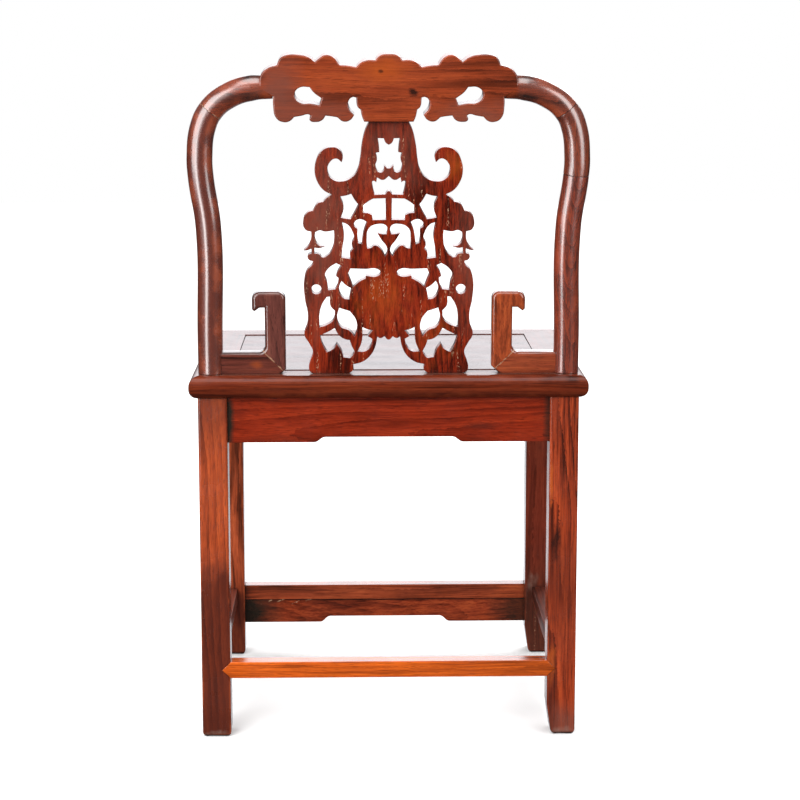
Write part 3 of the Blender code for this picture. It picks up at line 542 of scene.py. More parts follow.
def post_line(sign):
    """Points of a post's centre line, by name, on the +X or -X side."""
    places = {
        "root": (POST_X, POST_ROOT),
        "seat": (POST_X, 0.0),
        "rise": (POST_X, RISE_HEIGHT),
        "waist": (POST_X - WAIST_INSET, WAIST_HEIGHT),
    }
    for name, (inside, under) in BEND_POINTS.items():
        places[name] = (POST_X + SHOULDER_SPREAD - inside, BACK_HEIGHT - under)
    places["crest"] = (CREST_WIDTH / 2 + ROD_LEAD, BACK_HEIGHT)
    places["end"] = (CREST_WIDTH / 2 - ROD_IN_CREST, BACK_HEIGHT)
    return {name: back_point(sign * x, height) for name, (x, height) in places.items()}


def stretch(line, first, last):
    names = list(line)
    return [line[name] for name in names[names.index(first):names.index(last) + 1]]


def direction_at(line, name):
    names = list(line)
    spot = names.index(name)
    before = (line[name] - line[names[spot - 1]]).normalized()
    after = (line[names[spot + 1]] - line[name]).normalized()
    return (before + after).normalized()


def saw_at_joint(rod, line, name, sign):
    """Saw off what runs on past a joint, upwards (1) or downwards (-1)."""
    way = direction_at(line, name) * sign
    return saw_off(rod, line[name] - way * GAP / 2, way, JOINT_EDGE)


# The pieces

def thickness(node):
    low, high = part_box(node)
    return min(high.x - low.x, high.y - low.y)


def side_frame(side, depth=0.0):
    """The frame of one side, which faces outwards along +Y, moved out by a depth."""
    turn = Matrix.Rotation(SIDES[side][0], 4, "Z")
    return Matrix.Translation((0, SEAT_MIDDLE_Y, 0)) @ turn @ Matrix.Translation((0, depth, 0))


def side_box(name, side, low, high):
    """A block given in the frame of one side."""
    return place(block(name, low, high), side_frame(side))


def pointed_bar(name, side, edge, grow, inner, outer):
    """A stretcher's bar with pointed ends, between two depths of its side."""
    low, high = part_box(f"stretcher_{side}")
    half_span = SIDES[side][1] - GAP
    top, bottom = high.z + grow, low.z - grow
    tip = half_span + SHOULDER_LENGTH + grow
    half = [(half_span, top, True), (tip, (top + bottom) / 2, True), (half_span, bottom, True)]
    matrix = side_frame(side, (inner + outer) / 2) @ UPRIGHT
    return sawn_board(name, [half + flipped(half)], outer - inner, edge, matrix)


def housing(node, side, above):
    """The hole in the legs for an apron's ends."""
    low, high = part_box(node)
    reach = SIDES[side][1] + APRON_HOUSING + GAP
    face = SIDES[side][2] - APRON_RECESS + GAP
    return side_box("housing", side, (-reach, face - thickness(node) - 2 * GAP, low.z - GAP),
                    (reach, face, high.z + above))


def make_leg(node, sign_x, sign_y):
    """A squared leg with eased edges, housed for the aprons and notched for the stretchers."""
    middle = Vector((sign_x * LEG_X, SEAT_MIDDLE_Y + sign_y * LEG_Y, 0))
    half = Vector((LEG_HALF, LEG_HALF, 0))
    leg = block(node + "_squared", middle - half, middle + half + Vector((0, 0, SEAT_UNDERSIDE - GAP)))
    if sign_x < 0:
        saw_off(leg, (middle.x + LEG_HALF - FOOT_WEAR, 0, 0), (WEAR_HEIGHT, 0, -FOOT_WEAR))
    round_edges(leg, LEG_EDGE, LEG_STEPS, lambda start, end: not level(start, end))
    round_edges(leg, FOOT_EDGE, FOOT_STEPS, lambda start, end: max(start.z, end.z) < NEAR)
    for side in ("left" if sign_x > 0 else "right", "rear" if sign_y > 0 else "front"):
        outer = SIDES[side][2]
        chisel(leg, pointed_bar("notch", side, 0.0, GAP / 2, outer - SHOULDER_DEPTH - GAP, outer + SPARE))
        chisel(leg, housing(f"apron_{side}", side, SPARE))
        if side == "front":
            chisel(leg, housing("stretcher_apron_front", side, GAP))
    return leg


def make_stretcher(side):
    """A bar whose ends are pointed only in the outer part of its depth."""
    node = f"stretcher_{side}"
    low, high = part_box(node)
    half_span, outer = SIDES[side][1] - GAP, SIDES[side][2]
    inner = outer - thickness(node)
    bar = pointed_bar(node + "_pointed", side, STRETCHER_EDGE, 0.0, inner, outer)
    for start, end in ((half_span, half_span + SPARE), (-half_span - SPARE, -half_span)):
        chisel(bar, side_box("point_back", side, (start, inner - SPARE, low.z - SPARE),
                             (end, outer - SHOULDER_DEPTH, high.z + SPARE)))
    return bar


def make_apron(node, side):
    """A board with a lower edge that steps up towards the middle."""
    low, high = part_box(node)
    half_length = SIDES[side][1] + APRON_HOUSING
    step = half_length - APRON_HOUSING - STEP_START
    lift = LOW_STEP_LIFT if node == "stretcher_apron_front" else STEP_LIFT
    corners = [(half_length, high.z, 0), (half_length, low.z, 0), (step, low.z, STEP_RADIUS),
               (step - STEP_WIDTH, low.z + lift, STEP_RADIUS)]
    thick = thickness(node)
    matrix = side_frame(side, SIDES[side][2] - APRON_RECESS - thick / 2) @ UPRIGHT
    return sawn_board(node + "_stepped", [rounded(corners + flipped(corners))], thick, APRON_EDGE, matrix)


def make_seat_rail(side):
    """A mitred rail with a rounded nose."""
    node = f"seat_rail_{side}"
    low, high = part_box(node)
    rail = block(node + "_nosed", low, high)
    along = 0 if side in ("rear", "front") else 1
    across = 1 - along
    inner, outer = low[across], high[across]
    if side in ("front", "right"):
        inner, outer = outer, inner
    first, last = ("right", "left") if along == 0 else ("front", "rear")
    for end, neighbour, sign in ((low[along], first, 1), (high[along], last, -1)):
        move = Vector((0, 0, 0))
        move[along] = sign * thickness(f"seat_rail_{neighbour}")
        push(rail, move, lambda spot: max(abs(spot[along] - end), abs(spot[across] - inner)) < NEAR)

    def lies_at(depth, start, end):
        return level(start, end) and all(abs(spot[across] - depth) < NEAR for spot in (start, end))

    round_edges(rail, NOSE_RADIUS, NOSE_STEPS, lambda start, end: lies_at(outer, start, end))
    round_edges(rail, EASED, EASED_STEPS,
                lambda start, end: lies_at(inner, start, end) and start.z > SEAT_TOP - NEAR)
    return rail


def make_seat_panel():
    """A floating panel, a little proud of the rear rail and sunk at the front."""
    low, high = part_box("seat_panel")
    side = PANEL_SIDE - PANEL_GAP
    panel = block("seat_panel_floating", (-side, PANEL_FRONT + PANEL_GAP, low.z),
                  (side, PANEL_REAR - PANEL_GAP, high.z - PANEL_SINK))
    ease_all(panel, PANEL_EDGE)
    push(panel, (0, 0, PANEL_SINK + PANEL_PROUD),
         lambda spot: spot.y > SEAT_MIDDLE_Y and spot.z > (low.z + high.z) / 2)
    return panel


def make_batten(node):
    low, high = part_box(node)
    low.y = PANEL_FRONT + GAP
    high.y = PANEL_REAR - GAP
    return ease_all(block(node + "_planed", low, high), BATTEN_EDGE)


def add_post(leg, line, top, joint):
    """Stand a round post on the seat over its leg, sawn off at its upper joint."""
    post = bent_rod("post", stretch(line, "root", top), POST_RADIUS)
    saw_at_seat(post, POST_FOOT_EDGE)
    saw_at_joint(post, line, joint, 1)
    foot = line["root"] - Vector((0, 0, TENON_OVERLAP))
    neck = line["seat"] + Vector((0, 0, TENON_OVERLAP))
    chisel(leg, bent_rod("post_tenon", [foot, (foot + neck) / 2, neck], POST_TENON_RADIUS), "UNION")
    chisel(leg, post, "UNION")


def make_back_bend(line):
    """The length of post between the splice and the joint with the crest's end."""
    bend = bent_rod("back_bend_right_spliced", stretch(line, "waist", "arch"), POST_RADIUS)
    saw_at_joint(bend, line, "splice", -1)
    return saw_at_joint(bend, line, "bend", 1)


def make_top_rail(lines):
    """The crest board with its round ends glued on."""
    far, low, top = extent(CREST_EDGE)
    wide = CREST_WIDTH / 2 / far
    high = CREST_HEIGHT / (top - low)
    edge = scaled(whole(carved(CREST_EDGE)), wide, high, CREST_BOTTOM)
    eye = scaled(carved(CREST_OPENING), wide, high, CREST_BOTTOM)
    rail = sawn_board("top_rail_lobed", [edge, eye, flipped(eye)], CREST_THICKNESS, CREST_EDGE_RADIUS,
                      BACK_FRAME @ UPRIGHT, CREST_STEPS, CREST_CARVING)
    for line in lines:
        end = bent_rod("rail_end", stretch(line, "turn", "end"), POST_RADIUS, ROD_END_RADIUS)
        chisel(rail, saw_at_joint(end, line, "bend", -1), "UNION")
    return rail


def make_splat():
    """The fretted board, sawn level where its feet stand on the seat."""
    far, _, top = extent(SPLAT_EDGE)
    wide = SPLAT_WIDTH / 2 / far
    high = (CREST_BOTTOM - GAP) / top
    eye_x, eye_y, radius = SPLAT_EYE
    eye = [(eye_x + x * radius, eye_y + y * radius, False) for x, y in ((1, 0), (0, 1), (-1, 0), (0, -1))]
    outlines = [whole(carved(runs)) for runs in (SPLAT_EDGE, *SPLAT_MIDDLE_OPENINGS)]
    for opening in [carved(runs) for runs in SPLAT_SIDE_OPENINGS] + [eye]:
        outlines += [opening, flipped(opening)]
    splat = sawn_board("back_splat_fretted", [scaled(outline, wide, high) for outline in outlines],
                       SPLAT_THICKNESS, SPLAT_EDGE_RADIUS, BACK_FRAME @ UPRIGHT, SPLAT_STEPS, SPLAT_CARVING)
    return saw_at_seat(splat)


def bracket_outline(chamfer):
    hook = BRACKET_BAR + HOOK_LENGTH
    tip = BRACKET_HEIGHT - HOOK_DROP
    hollow = tip + HOOK_HOLLOW
    return rounded((
        (chamfer - BRACKET_BELOW, BRACKET_BELOW, 0),
        (BRACKET_REACH, BRACKET_BELOW, 0),
        (BRACKET_REACH, BRACKET_FOOT, 0),
        (BRACKET_BAR, BRACKET_FOOT, BRACKET_FILLET),
        (BRACKET_BAR, hollow, 0),
        (BRACKET_BAR + HOOK_NOTCH, hollow, HOOK_NOTCH / 2),
        (hook - HOOK_TIP_INSET, tip, 0),
        (hook, tip + HOOK_TIP_INSET, 0),
        (hook, BRACKET_HEIGHT, HOOK_CORNER_RADIUS),
        (0, BRACKET_HEIGHT, HOOK_CORNER_RADIUS),
        (0, chamfer, 0),
    ))


def mitre(sign):
    """A point on a bracket's mitre and the direction across it, towards the hook."""
    corner = BACK_FRAME @ Vector((sign * (POST_X - BRACKET_REACH + BRACKET_BAR), 0, BRACKET_FOOT))
    return corner, (BACK_FRAME.to_3x3() @ Vector((-sign, 0, 1))).normalized()


def make_bracket(side, sign, line):
    """The two mitred lengths of a hook bracket."""
    matrix = BACK_FRAME @ Matrix.Translation((sign * (POST_X - BRACKET_REACH), 0, 0)) @ UPRIGHT
    outline = bracket_outline(BRACKET_CHAMFERS[side])
    if sign < 0:
        outline = flipped(outline)
    corner, towards_hook = mitre(sign)
    lengths = []
    for name, direction in (("foot", towards_hook), ("hook", -towards_hook)):
        length = sawn_board(f"bracket_{name}_{side}_mitred", [outline], BRACKET_THICKNESS, BRACKET_EDGE,
                            matrix)
        saw_at_seat(length)
        lengths.append(saw_off(length, corner - direction * GAP / 2, direction))
    chisel(lengths[0], bent_rod("clear_post", stretch(line, "root", "splice"), POST_RADIUS + GAP))
    return lengths


def finish_piece(piece, node):
    """Clear a piece of slivers, shade it, seat it on the chair and hide the solid that it takes the place of.
    """
    with opened(piece):
        bpy.ops.mesh.remove_doubles(threshold=SLIVER)
        bpy.ops.mesh.dissolve_degenerate(threshold=SLIVER)
    bpy.ops.object.shade_smooth_by_angle(angle=SMOOTH_ANGLE)
    step = piece.modifiers.new("flat_faces", "WEIGHTED_NORMAL")
    step.keep_sharp = True
    apply_step(piece, step)
    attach(piece, "root")
    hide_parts(node)
    next(slot for word, slot in SLOTS.items() if word in node)
    piece.data.materials.clear()


left_line = post_line(1)
right_line = post_line(-1)

pieces = {}
for place_name, sign_y in (("rear", 1), ("front", -1)):
    for side_name, sign_x in (("left", 1), ("right", -1)):
        node_name = f"{place_name}_leg_{side_name}"
        pieces[node_name] = make_leg(node_name, sign_x, sign_y)
add_post(pieces["rear_leg_left"], left_line, "arch", "bend")
add_post(pieces["rear_leg_right"], right_line, "shoulder", "splice")
pieces["back_bend_right"] = make_back_bend(right_line)
pieces["top_rail"] = make_top_rail((left_line, right_line))
pieces["back_splat"] = make_splat()
for side_name, sign_x, post in (("left", 1, left_line), ("right", -1, right_line)):
    pair = make_bracket(side_name, sign_x, post)
    pieces[f"bracket_foot_{side_name}"], pieces[f"bracket_hook_{side_name}"] = pair
for side_name in SIDES:
    pieces[f"seat_rail_{side_name}"] = make_seat_rail(side_name)
    pieces[f"apron_{side_name}"] = make_apron(f"apron_{side_name}", side_name)
    pieces[f"stretcher_{side_name}"] = make_stretcher(side_name)
pieces["stretcher_apron_front"] = make_apron("stretcher_apron_front", "front")
pieces["seat_panel"] = make_seat_panel()
for node_name in ("seat_batten_1", "seat_batten_2"):
    pieces[node_name] = make_batten(node_name)
for sign_x, side_name in ((1, "left"), (-1, "right")):
    heights = (SEAT_UNDERSIDE - SPARE, SEAT_UNDERSIDE, SEAT_TOP + SPARE)
    middle_line = [Vector((sign_x * POST_X, REAR_Y, height)) for height in heights]
    for rail_name in (side_name, "rear"):
        hole = bent_rod("post_hole", middle_line, POST_TENON_RADIUS + GAP)
        chisel(pieces[f"seat_rail_{rail_name}"], hole)

for node_name, piece in pieces.items():
    finish_piece(piece, node_name)


# Polished rosewood

def linear(red, green, blue):
    """A colour as it looks on a screen, turned into light."""
    return tuple(((shade / 255 + 0.055) / 1.055) ** 2.4 for shade in (red, green, blue))


INK = linear(24, 14, 11)
SOOT = linear(34, 33, 26)
DUST = linear(196, 150, 118)
GREY_DUST = linear(150, 128, 116)
GLOW = linear(176, 78, 22)
# A grey haze on the wood; on the crest it is a painted grey sheen
GREY_HAZE_AND_SHEEN = linear(112, 62, 50)
SHADOW = linear(74, 28, 18)
POST_BROWN = linear(92, 36, 23)

# The darkest and the lightest wood, against a timber's own tone
DARKEST = 0.28
LIGHTEST = (1.5, 1.75, 1.6)

# Turns about Y and Z that bring the grain of a piece along the X axis of its pattern
TURNS = {"X": (0.0, 0.0), "Y": (0.0, -math.pi / 2), "Z": (math.pi / 2, 0.0)}
SEED_STEP = 0.731

# Patterns along the grain: how far they are drawn out, then scale, detail and roughness
DRIFT = (0.35, 11.0, 2.0)
UNEVEN = (0.5, 90.0, 3.0)
FIGURE = (0.14, 34.0, 3.0, 0.55)
BANDS = (0.014, 260.0, 3.0, 0.70)
FIBRES = (0.018, 900.0, 2.0, 0.6)
PORES = (0.055, 1300.0, 1.0)
DARK_STREAKS = (0.02, 150.0, 4.0, 0.7)
FLECK_COLUMNS = (0.03, 170.0, 1.0)
FLECK_SPECKS = (0.25, 1150.0, 1.0)
RIPPLE = (0.15, 60.0, 1.0)

# Noise in all directions, with scale and detail, and the wave scale of rings one metre apart
PATCHES = (28.0, 3.0)
BREAKS = (160.0, 2.0)
RING_SCALE = 0.314

# Facing of a rounded edge, from where its wear begins to where it is full
EDGE_WEAR = (0.985, 0.90)

# Half the width of an open joint's line, from where it begins to where it is full
JOINT_LINE = (0.0011, 0.0005)
JOINT_REACH = 0.05


class Recipe:
    """The nodes of a material or a world, laid out step by step."""

    def __init__(self, owner):
        owner.use_nodes = True
        self.tree = owner.node_tree

    def feed(self, socket, value):
        """Link a value into a socket, or set it there."""
        if isinstance(value, bpy.types.NodeSocket):
            self.tree.links.new(value, socket)
        else:
            socket.default_value = value

    def add(self, kind, inputs=None, **settings):
        node = self.tree.nodes.new(kind)
        for name, value in settings.items():
            setattr(node, name, value)
        for name, value in (inputs or {}).items():
            self.feed(node.inputs[name], value)
        return node

    def vector(self, operation, first, second=(0, 0, 0), output="Vector"):
        node = self.add("ShaderNodeVectorMath", {0: first, 1: second}, operation=operation)
        return node.outputs[output]

    def measure(self, operation, first, second=(0, 0, 0)):
        return self.vector(operation, first, second, "Value")

    def split(self, vector):
        """The three parts of a vector, without their signs."""
        return self.add("ShaderNodeSeparateXYZ", {0: self.vector("ABSOLUTE", vector)}).outputs

    def noise(self, vector, scale, detail, roughness=0.5, output="Fac"):
        return self.add("ShaderNodeTexNoise", {"Vector": vector, "Scale": scale, "Detail": detail,
                                               "Roughness": roughness}).outputs[output]

    def streaks(self, vector, along, *pattern):
        """Noise drawn out along the grain."""
        return self.noise(self.vector("MULTIPLY", vector, (along, 1, 1)), *pattern)

    def wander(self, vector, along, scale, detail):
        """A noise vector about zero, drawn out along the grain."""
        drawn_out = self.vector("MULTIPLY", vector, (along, 1, 1))
        noise = self.noise(drawn_out, scale, detail, output="Color")
        return self.vector("SUBTRACT", noise, (0.5, 0.5, 0.5))

    def math(self, operation, first, second=0.0, clamp=False):
        node = self.add("ShaderNodeMath", {0: first, 1: second}, operation=operation, use_clamp=clamp)
        return node.outputs[0]

    def times(self, first, second, clamp=False):
        return self.math("MULTIPLY", first, second, clamp)

    def plus(self, first, second, clamp=False):
        return self.math("ADD", first, second, clamp)

    def minus(self, first, second):
        return self.math("SUBTRACT", first, second)

    def span(self, value, low, high, to_low=0.0, to_high=1.0):
        node = self.add("ShaderNodeMapRange", {"Value": value, "From Min": low, "From Max": high,
                                               "To Min": to_low, "To Max": to_high})
        return node.outputs["Result"]

    def mix(self, factor, first, second, blend="MIX"):
        node = self.add("ShaderNodeMix", data_type="RGBA", blend_type=blend)
        for slot, value in ((0, factor), (6, first), (7, second)):
            self.feed(node.inputs[slot], (*value, 1.0) if isinstance(value, tuple) else value)
        return node.outputs[2]

    def ramp(self, value, stops):
        node = self.add("ShaderNodeValToRGB", {"Fac": value})
        elements = node.color_ramp.elements
        while len(elements) < len(stops):
            elements.new(0.5)
        for element, (spot, colour) in zip(elements, stops):
            element.position = spot
            element.color = (*colour, 1.0)
        return node.outputs["Color"]

    def bump(self, height, strength, distance, **below):
        return self.add("ShaderNodeBump", {"Height": height, "Strength": strength, "Distance": distance,
                                           **below}).outputs["Normal"]


def with_stains_and_painted_light(wood, colour, position, uneven, stains_and_painted_light):
    """A colour with stains and painted shade and sheen over it, each full within its core and ragged at its
    rim.
    """
    for centre, reach, mark, strength, core, ragged in stains_and_painted_light:
        offset = wood.vector("DIVIDE", wood.vector("SUBTRACT", position, centre), reach)
        offset = wood.vector("ADD", offset, wood.vector("MULTIPLY", uneven, (ragged, ragged, ragged)))
        mask = wood.times(wood.span(wood.measure("LENGTH", offset), 1.05, core), strength, clamp=True)
        colour = wood.mix(mask, colour, mark)
    return colour


def with_flecks(wood, colour, lay, flecks):
    """A colour with columns of pale specks along the grain."""
    specks = wood.span(wood.streaks(lay, *FLECK_SPECKS), 0.58, 0.66)
    specks = wood.times(specks, wood.span(wood.streaks(lay, *FLECK_COLUMNS), 0.63, 0.69))
    return wood.mix(wood.times(specks, flecks, clamp=True), colour, DUST)


def with_wear(wood, colour, normal, patches, edges, dark_rim_reflection, dark, light):
    """A colour with worn edges, found by the way they face, of a squared piece or a board of the back; a
    board's rounded rims can also be darkened as a painted dark reflection.
    """
    if edges == "box":
        facing = wood.split(normal)
        most = wood.math("MAXIMUM", facing["X"], wood.math("MAXIMUM", facing["Y"], facing["Z"]))
        worn = wood.span(most, *EDGE_WEAR)
    else:
        lean = wood.math("ABSOLUTE", wood.measure("DOT_PRODUCT", normal, BACK_NORMAL))
        worn = wood.times(wood.span(lean, *EDGE_WEAR), wood.span(lean, 0.10, 0.35))
        # Painted reflection: a board's rounded rims are darkened, as the dark room looks mirrored in them
        colour = wood.mix(wood.times(wood.span(lean, 0.93, 0.70), dark_rim_reflection), colour, dark)
    worn = wood.times(worn, wood.span(patches, 0.45, 0.62, 0.0, 0.5), clamp=True)
    return wood.mix(worn, colour, light)


def with_joints(wood, colour, position, lay, joints):
    """A colour with a broken line of dirt or pale dust in each joint that has opened."""
    for point, direction, reach, filling in joints:
        apart = wood.measure("DOT_PRODUCT", wood.vector("SUBTRACT", position, point), direction)
        line = wood.span(wood.math("ABSOLUTE", apart), *JOINT_LINE)
        broken = wood.span(wood.noise(lay, *BREAKS), 0.46, 0.56, 0.0, 0.8)
        far = wood.measure("DISTANCE", position, point)
        broken = wood.times(broken, wood.span(far, reach, 0.8 * reach))
        colour = wood.mix(wood.times(line, broken, clamp=True), colour, filling)
    return colour


def rosewood(node, grain, seed, tone, cloud=0.7, lines=0.9, veins=0.3, pith=(0.055, 0.02), ring=0.007,
             growth=0.16, sway=0.016, tilt=0.0, flecks=0.0, edges="box", dark_rim_reflection=0.0, gloss=0.15, level=0.5,
             coat=0.4, shine=0.16, depth=1.5, polished=None, waves=0.06, stains_and_painted_light=(), joints=()):
    """Polished timber: rings and streaks along the grain, pores, stains and painted shade and sheen, worn
    edges and painted dark rims, painted shade in corners, dirt in the joints.
    """
    material = bpy.data.materials.new(node + "_rosewood")
    wood = Recipe(material)
    spot = wood.add("ShaderNodeTexCoord").outputs
    position, normal = spot["Object"], spot["Normal"]
    tone = linear(*tone)
    dark = tuple(shade * DARKEST for shade in tone)
    light = tuple(shade * share for shade, share in zip(tone, LIGHTEST))

    # The pattern lies along X, beside the heart of the tree
    across, along = TURNS[grain]
    along += tilt
    turn = Matrix.Rotation(along, 4, "Z") @ Matrix.Rotation(across, 4, "Y")
    low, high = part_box(node)
    shift = Vector((seed * SEED_STEP, *pith)) - turn @ ((low + high) / 2)
    lay = wood.add("ShaderNodeMapping", {"Vector": position, "Rotation": (0, across, along),
                                         "Location": shift}).outputs["Vector"]
    bent = wood.vector("ADD", lay, wood.vector("MULTIPLY", wood.wander(lay, *DRIFT), (0, sway, sway)))

    figure = wood.streaks(bent, *FIGURE)
    fibres = wood.streaks(bent, *FIBRES)
    rings = wood.add("ShaderNodeTexWave", {"Vector": bent, "Scale": RING_SCALE / ring, "Distortion": 0.8,
                                           "Detail": 2.0, "Detail Scale": 3.0},
                     wave_type="RINGS", rings_direction="X", wave_profile="SAW").outputs["Fac"]
    value = wood.times(wood.minus(figure, 0.5), 1.5 * cloud)
    value = wood.plus(value, wood.times(wood.minus(wood.streaks(bent, *BANDS), 0.5), 1.3 * lines))
    value = wood.plus(value, wood.times(wood.minus(0.5, rings), growth))
    colour = wood.ramp(wood.plus(value, 0.5), ((0.15, dark), (0.5, tone), (0.88, light)))
    colour = wood.mix(1.0, colour, wood.span(fibres, 0.3, 0.7, 0.75, 1.21), "MULTIPLY")

    late_wood = wood.times(wood.span(rings, 0.60, 1.0), wood.span(figure, 0.54, 0.40))
    colour = wood.mix(wood.times(late_wood, 0.7 * veins, clamp=True), colour, INK)
    dark_streaks = wood.span(wood.streaks(bent, *DARK_STREAKS), 0.56, 0.70)
    colour = wood.mix(wood.times(dark_streaks, veins, clamp=True), colour, INK)
    pores = wood.times(wood.span(wood.streaks(bent, *PORES), 0.58, 0.70), 0.6, clamp=True)
    colour = wood.mix(pores, colour, dark)

    colour = with_stains_and_painted_light(wood, colour, position, wood.wander(lay, *UNEVEN), stains_and_painted_light)
    if flecks:
        colour = with_flecks(wood, colour, lay, flecks)
    patches = wood.noise(lay, *PATCHES)
    if edges:
        colour = with_wear(wood, colour, normal, patches, edges, dark_rim_reflection, dark, light)

    # Painted shade: the colour darkens towards ink in corners and gaps that ambient occlusion finds, and the
    # polish roughens there as with dirt
    shade = wood.add("ShaderNodeAmbientOcclusion", {"Distance": 0.012}, samples=6).outputs["AO"]
    corner_shade_and_grime = wood.times(wood.span(shade, 0.62, 0.15), wood.span(patches, 0.30, 0.60, 0.6, 1.0), clamp=True)
    colour = wood.mix(wood.times(corner_shade_and_grime, 0.9), colour, INK)
    colour = with_joints(wood, colour, position, lay, joints)

    polish = wood.span(patches, 0.3, 0.7, gloss - 0.04, gloss + 0.06)
    polish = wood.plus(polish, wood.times(pores, 0.05))
    polish = wood.plus(polish, wood.times(corner_shade_and_grime, 0.35), clamp=True)
    relief = wood.minus(wood.times(fibres, 0.4), pores)
    grain_relief = wood.bump(relief, 0.15, 0.00025)
    surface = wood.tree.nodes["Principled BSDF"].inputs
    wood.feed(surface["Base Color"], colour)
    wood.feed(surface["Roughness"], polish)
    wood.feed(surface["Normal"], wood.bump(wood.streaks(lay, *RIPPLE), waves, 0.0006, Normal=grain_relief))
    surface["IOR"].default_value = 1.5
    surface["Specular IOR Level"].default_value = level
    surface["Coat Weight"].default_value = coat
    surface["Coat IOR"].default_value = depth
    surface["Coat Roughness"].default_value = shine
    if polished:
        axis, start, full = polished
        wood.feed(surface["Coat Weight"], wood.span(wood.split(position)[axis], start, full, coat, 1.0))
    return material


# Marks on the wood: stains with a ragged rim, dirt, painted shade and sheen, and lines of dust or dirt in
# joints

def mark_at(centre, reach, colour, strength, core=0.45, ragged=1.6):
    """A mark round a point, full within its core and ragged at its rim."""
    return centre, reach, colour, strength, core, ragged


def on_back(x, height, thick, *mark):
    """A mark on the rear face of a board of the back, with its height counted from the seat."""
    return mark_at(BACK_FRAME @ Vector((x, thick / 2, height)), *mark)


def on_crest(x, up, *mark):
    return on_back(x, CREST_BOTTOM + up, CREST_THICKNESS, *mark)


def on_splat(x, height, *mark):
    return on_back(x, height, SPLAT_THICKNESS, *mark)


def on_leg(share_x, sign_y, height, *mark):
    """A mark on the front or rear face of a leg."""
    return mark_at(Vector((share_x * LEG_X, SEAT_MIDDLE_Y + sign_y * (LEG_Y + LEG_HALF), height)), *mark)


def foot_dust(sign):
    return on_leg(sign, 1, 0.0, (0.05, 0.05, 0.010), GREY_DUST, 0.4, 0.1, 2.4)


def post_brown(sign, strength):
    """The browner colour of a rear leg's post, above the seat."""
    return on_leg(sign, 1, SEAT_TOP + 0.50, (0.8, 0.8, 0.505), POST_BROWN, strength, 0.98, 0.0)


def rod_end_shadow(sign):
    """Painted shadow, dark over and under the round end, where it runs in behind the crest."""
    return tuple(on_back(sign * 0.172, BACK_HEIGHT + rise, POST_RADIUS, (0.020, 0.014, 0.010),
                         INK, 0.9, 0.4, 0.5) for rise in (0.016, -0.011))


def end_soot_and_shade(node, reach, core):
    """Darkening at both ends of an apron, beside the legs: painted shade of the recess where it meets them,
    and soot where it reaches far along.
    """
    low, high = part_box(node)
    middle = (low + high) / 2
    return tuple(mark_at(Vector((sign * (LEG_X - LEG_HALF), middle.y, middle.z)), (reach, 0.03, 0.05), SOOT,
                       strength, core, 0.5) for sign, strength in ((1, 0.95), (-1, 0.7)))


def seam_dirt(node):
    """Dirt along the top of a piece, in the seam with the one above."""
    low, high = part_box(node)
    return mark_at(Vector(((low.x + high.x) / 2, high.y, high.z)), (0.5, 0.05, 0.0032), INK, 0.9, 0.3, 0.4)


def joint_at(line, name, filling=INK):
    return line[name], direction_at(line, name), JOINT_REACH, filling


def mitre_at(sign):
    return *mitre(sign), JOINT_REACH, DUST


def scratch(node, x, height, slope, reach):
    """A pale scratch on the side of a piece that faces the rear."""
    spot = Vector((x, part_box(node)[1].y, height))
    return spot, Vector((-slope, 0, 1)).normalized(), reach, DUST


# Finishes that several pieces share
ROUND_ENDS = ("X", CREST_WIDTH / 2 - 0.003, CREST_WIDTH / 2 + 0.003)
ABOVE_SEAT = ("Z", SEAT_TOP - 0.003, SEAT_TOP)
# A painted grey sheen, for the crest's ends and lower lobes
PAINTED_SHEEN = (GREY_HAZE_AND_SHEEN, 0.75, 0.2, 0.8)
POST = dict(grain="Z", gloss=0.24, shine=0.25, depth=2.3)
REAR_LEG = dict(POST, coat=0.1, polished=ABOVE_SEAT, growth=0.35)
BRACKET = dict(coat=0.6, depth=1.9, edges="back")
SEAT_RAIL = dict(tone=(105, 43, 27), veins=0.5, gloss=0.2, coat=0.3)
BATTEN = dict(grain="Y", tone=(84, 44, 35), gloss=0.5)
APRON = dict(tone=(127, 34, 12))
SIDE_STRETCHER = dict(grain="Y", tone=(104, 46, 32), veins=0.5, gloss=0.45, coat=0.0, level=0.2)

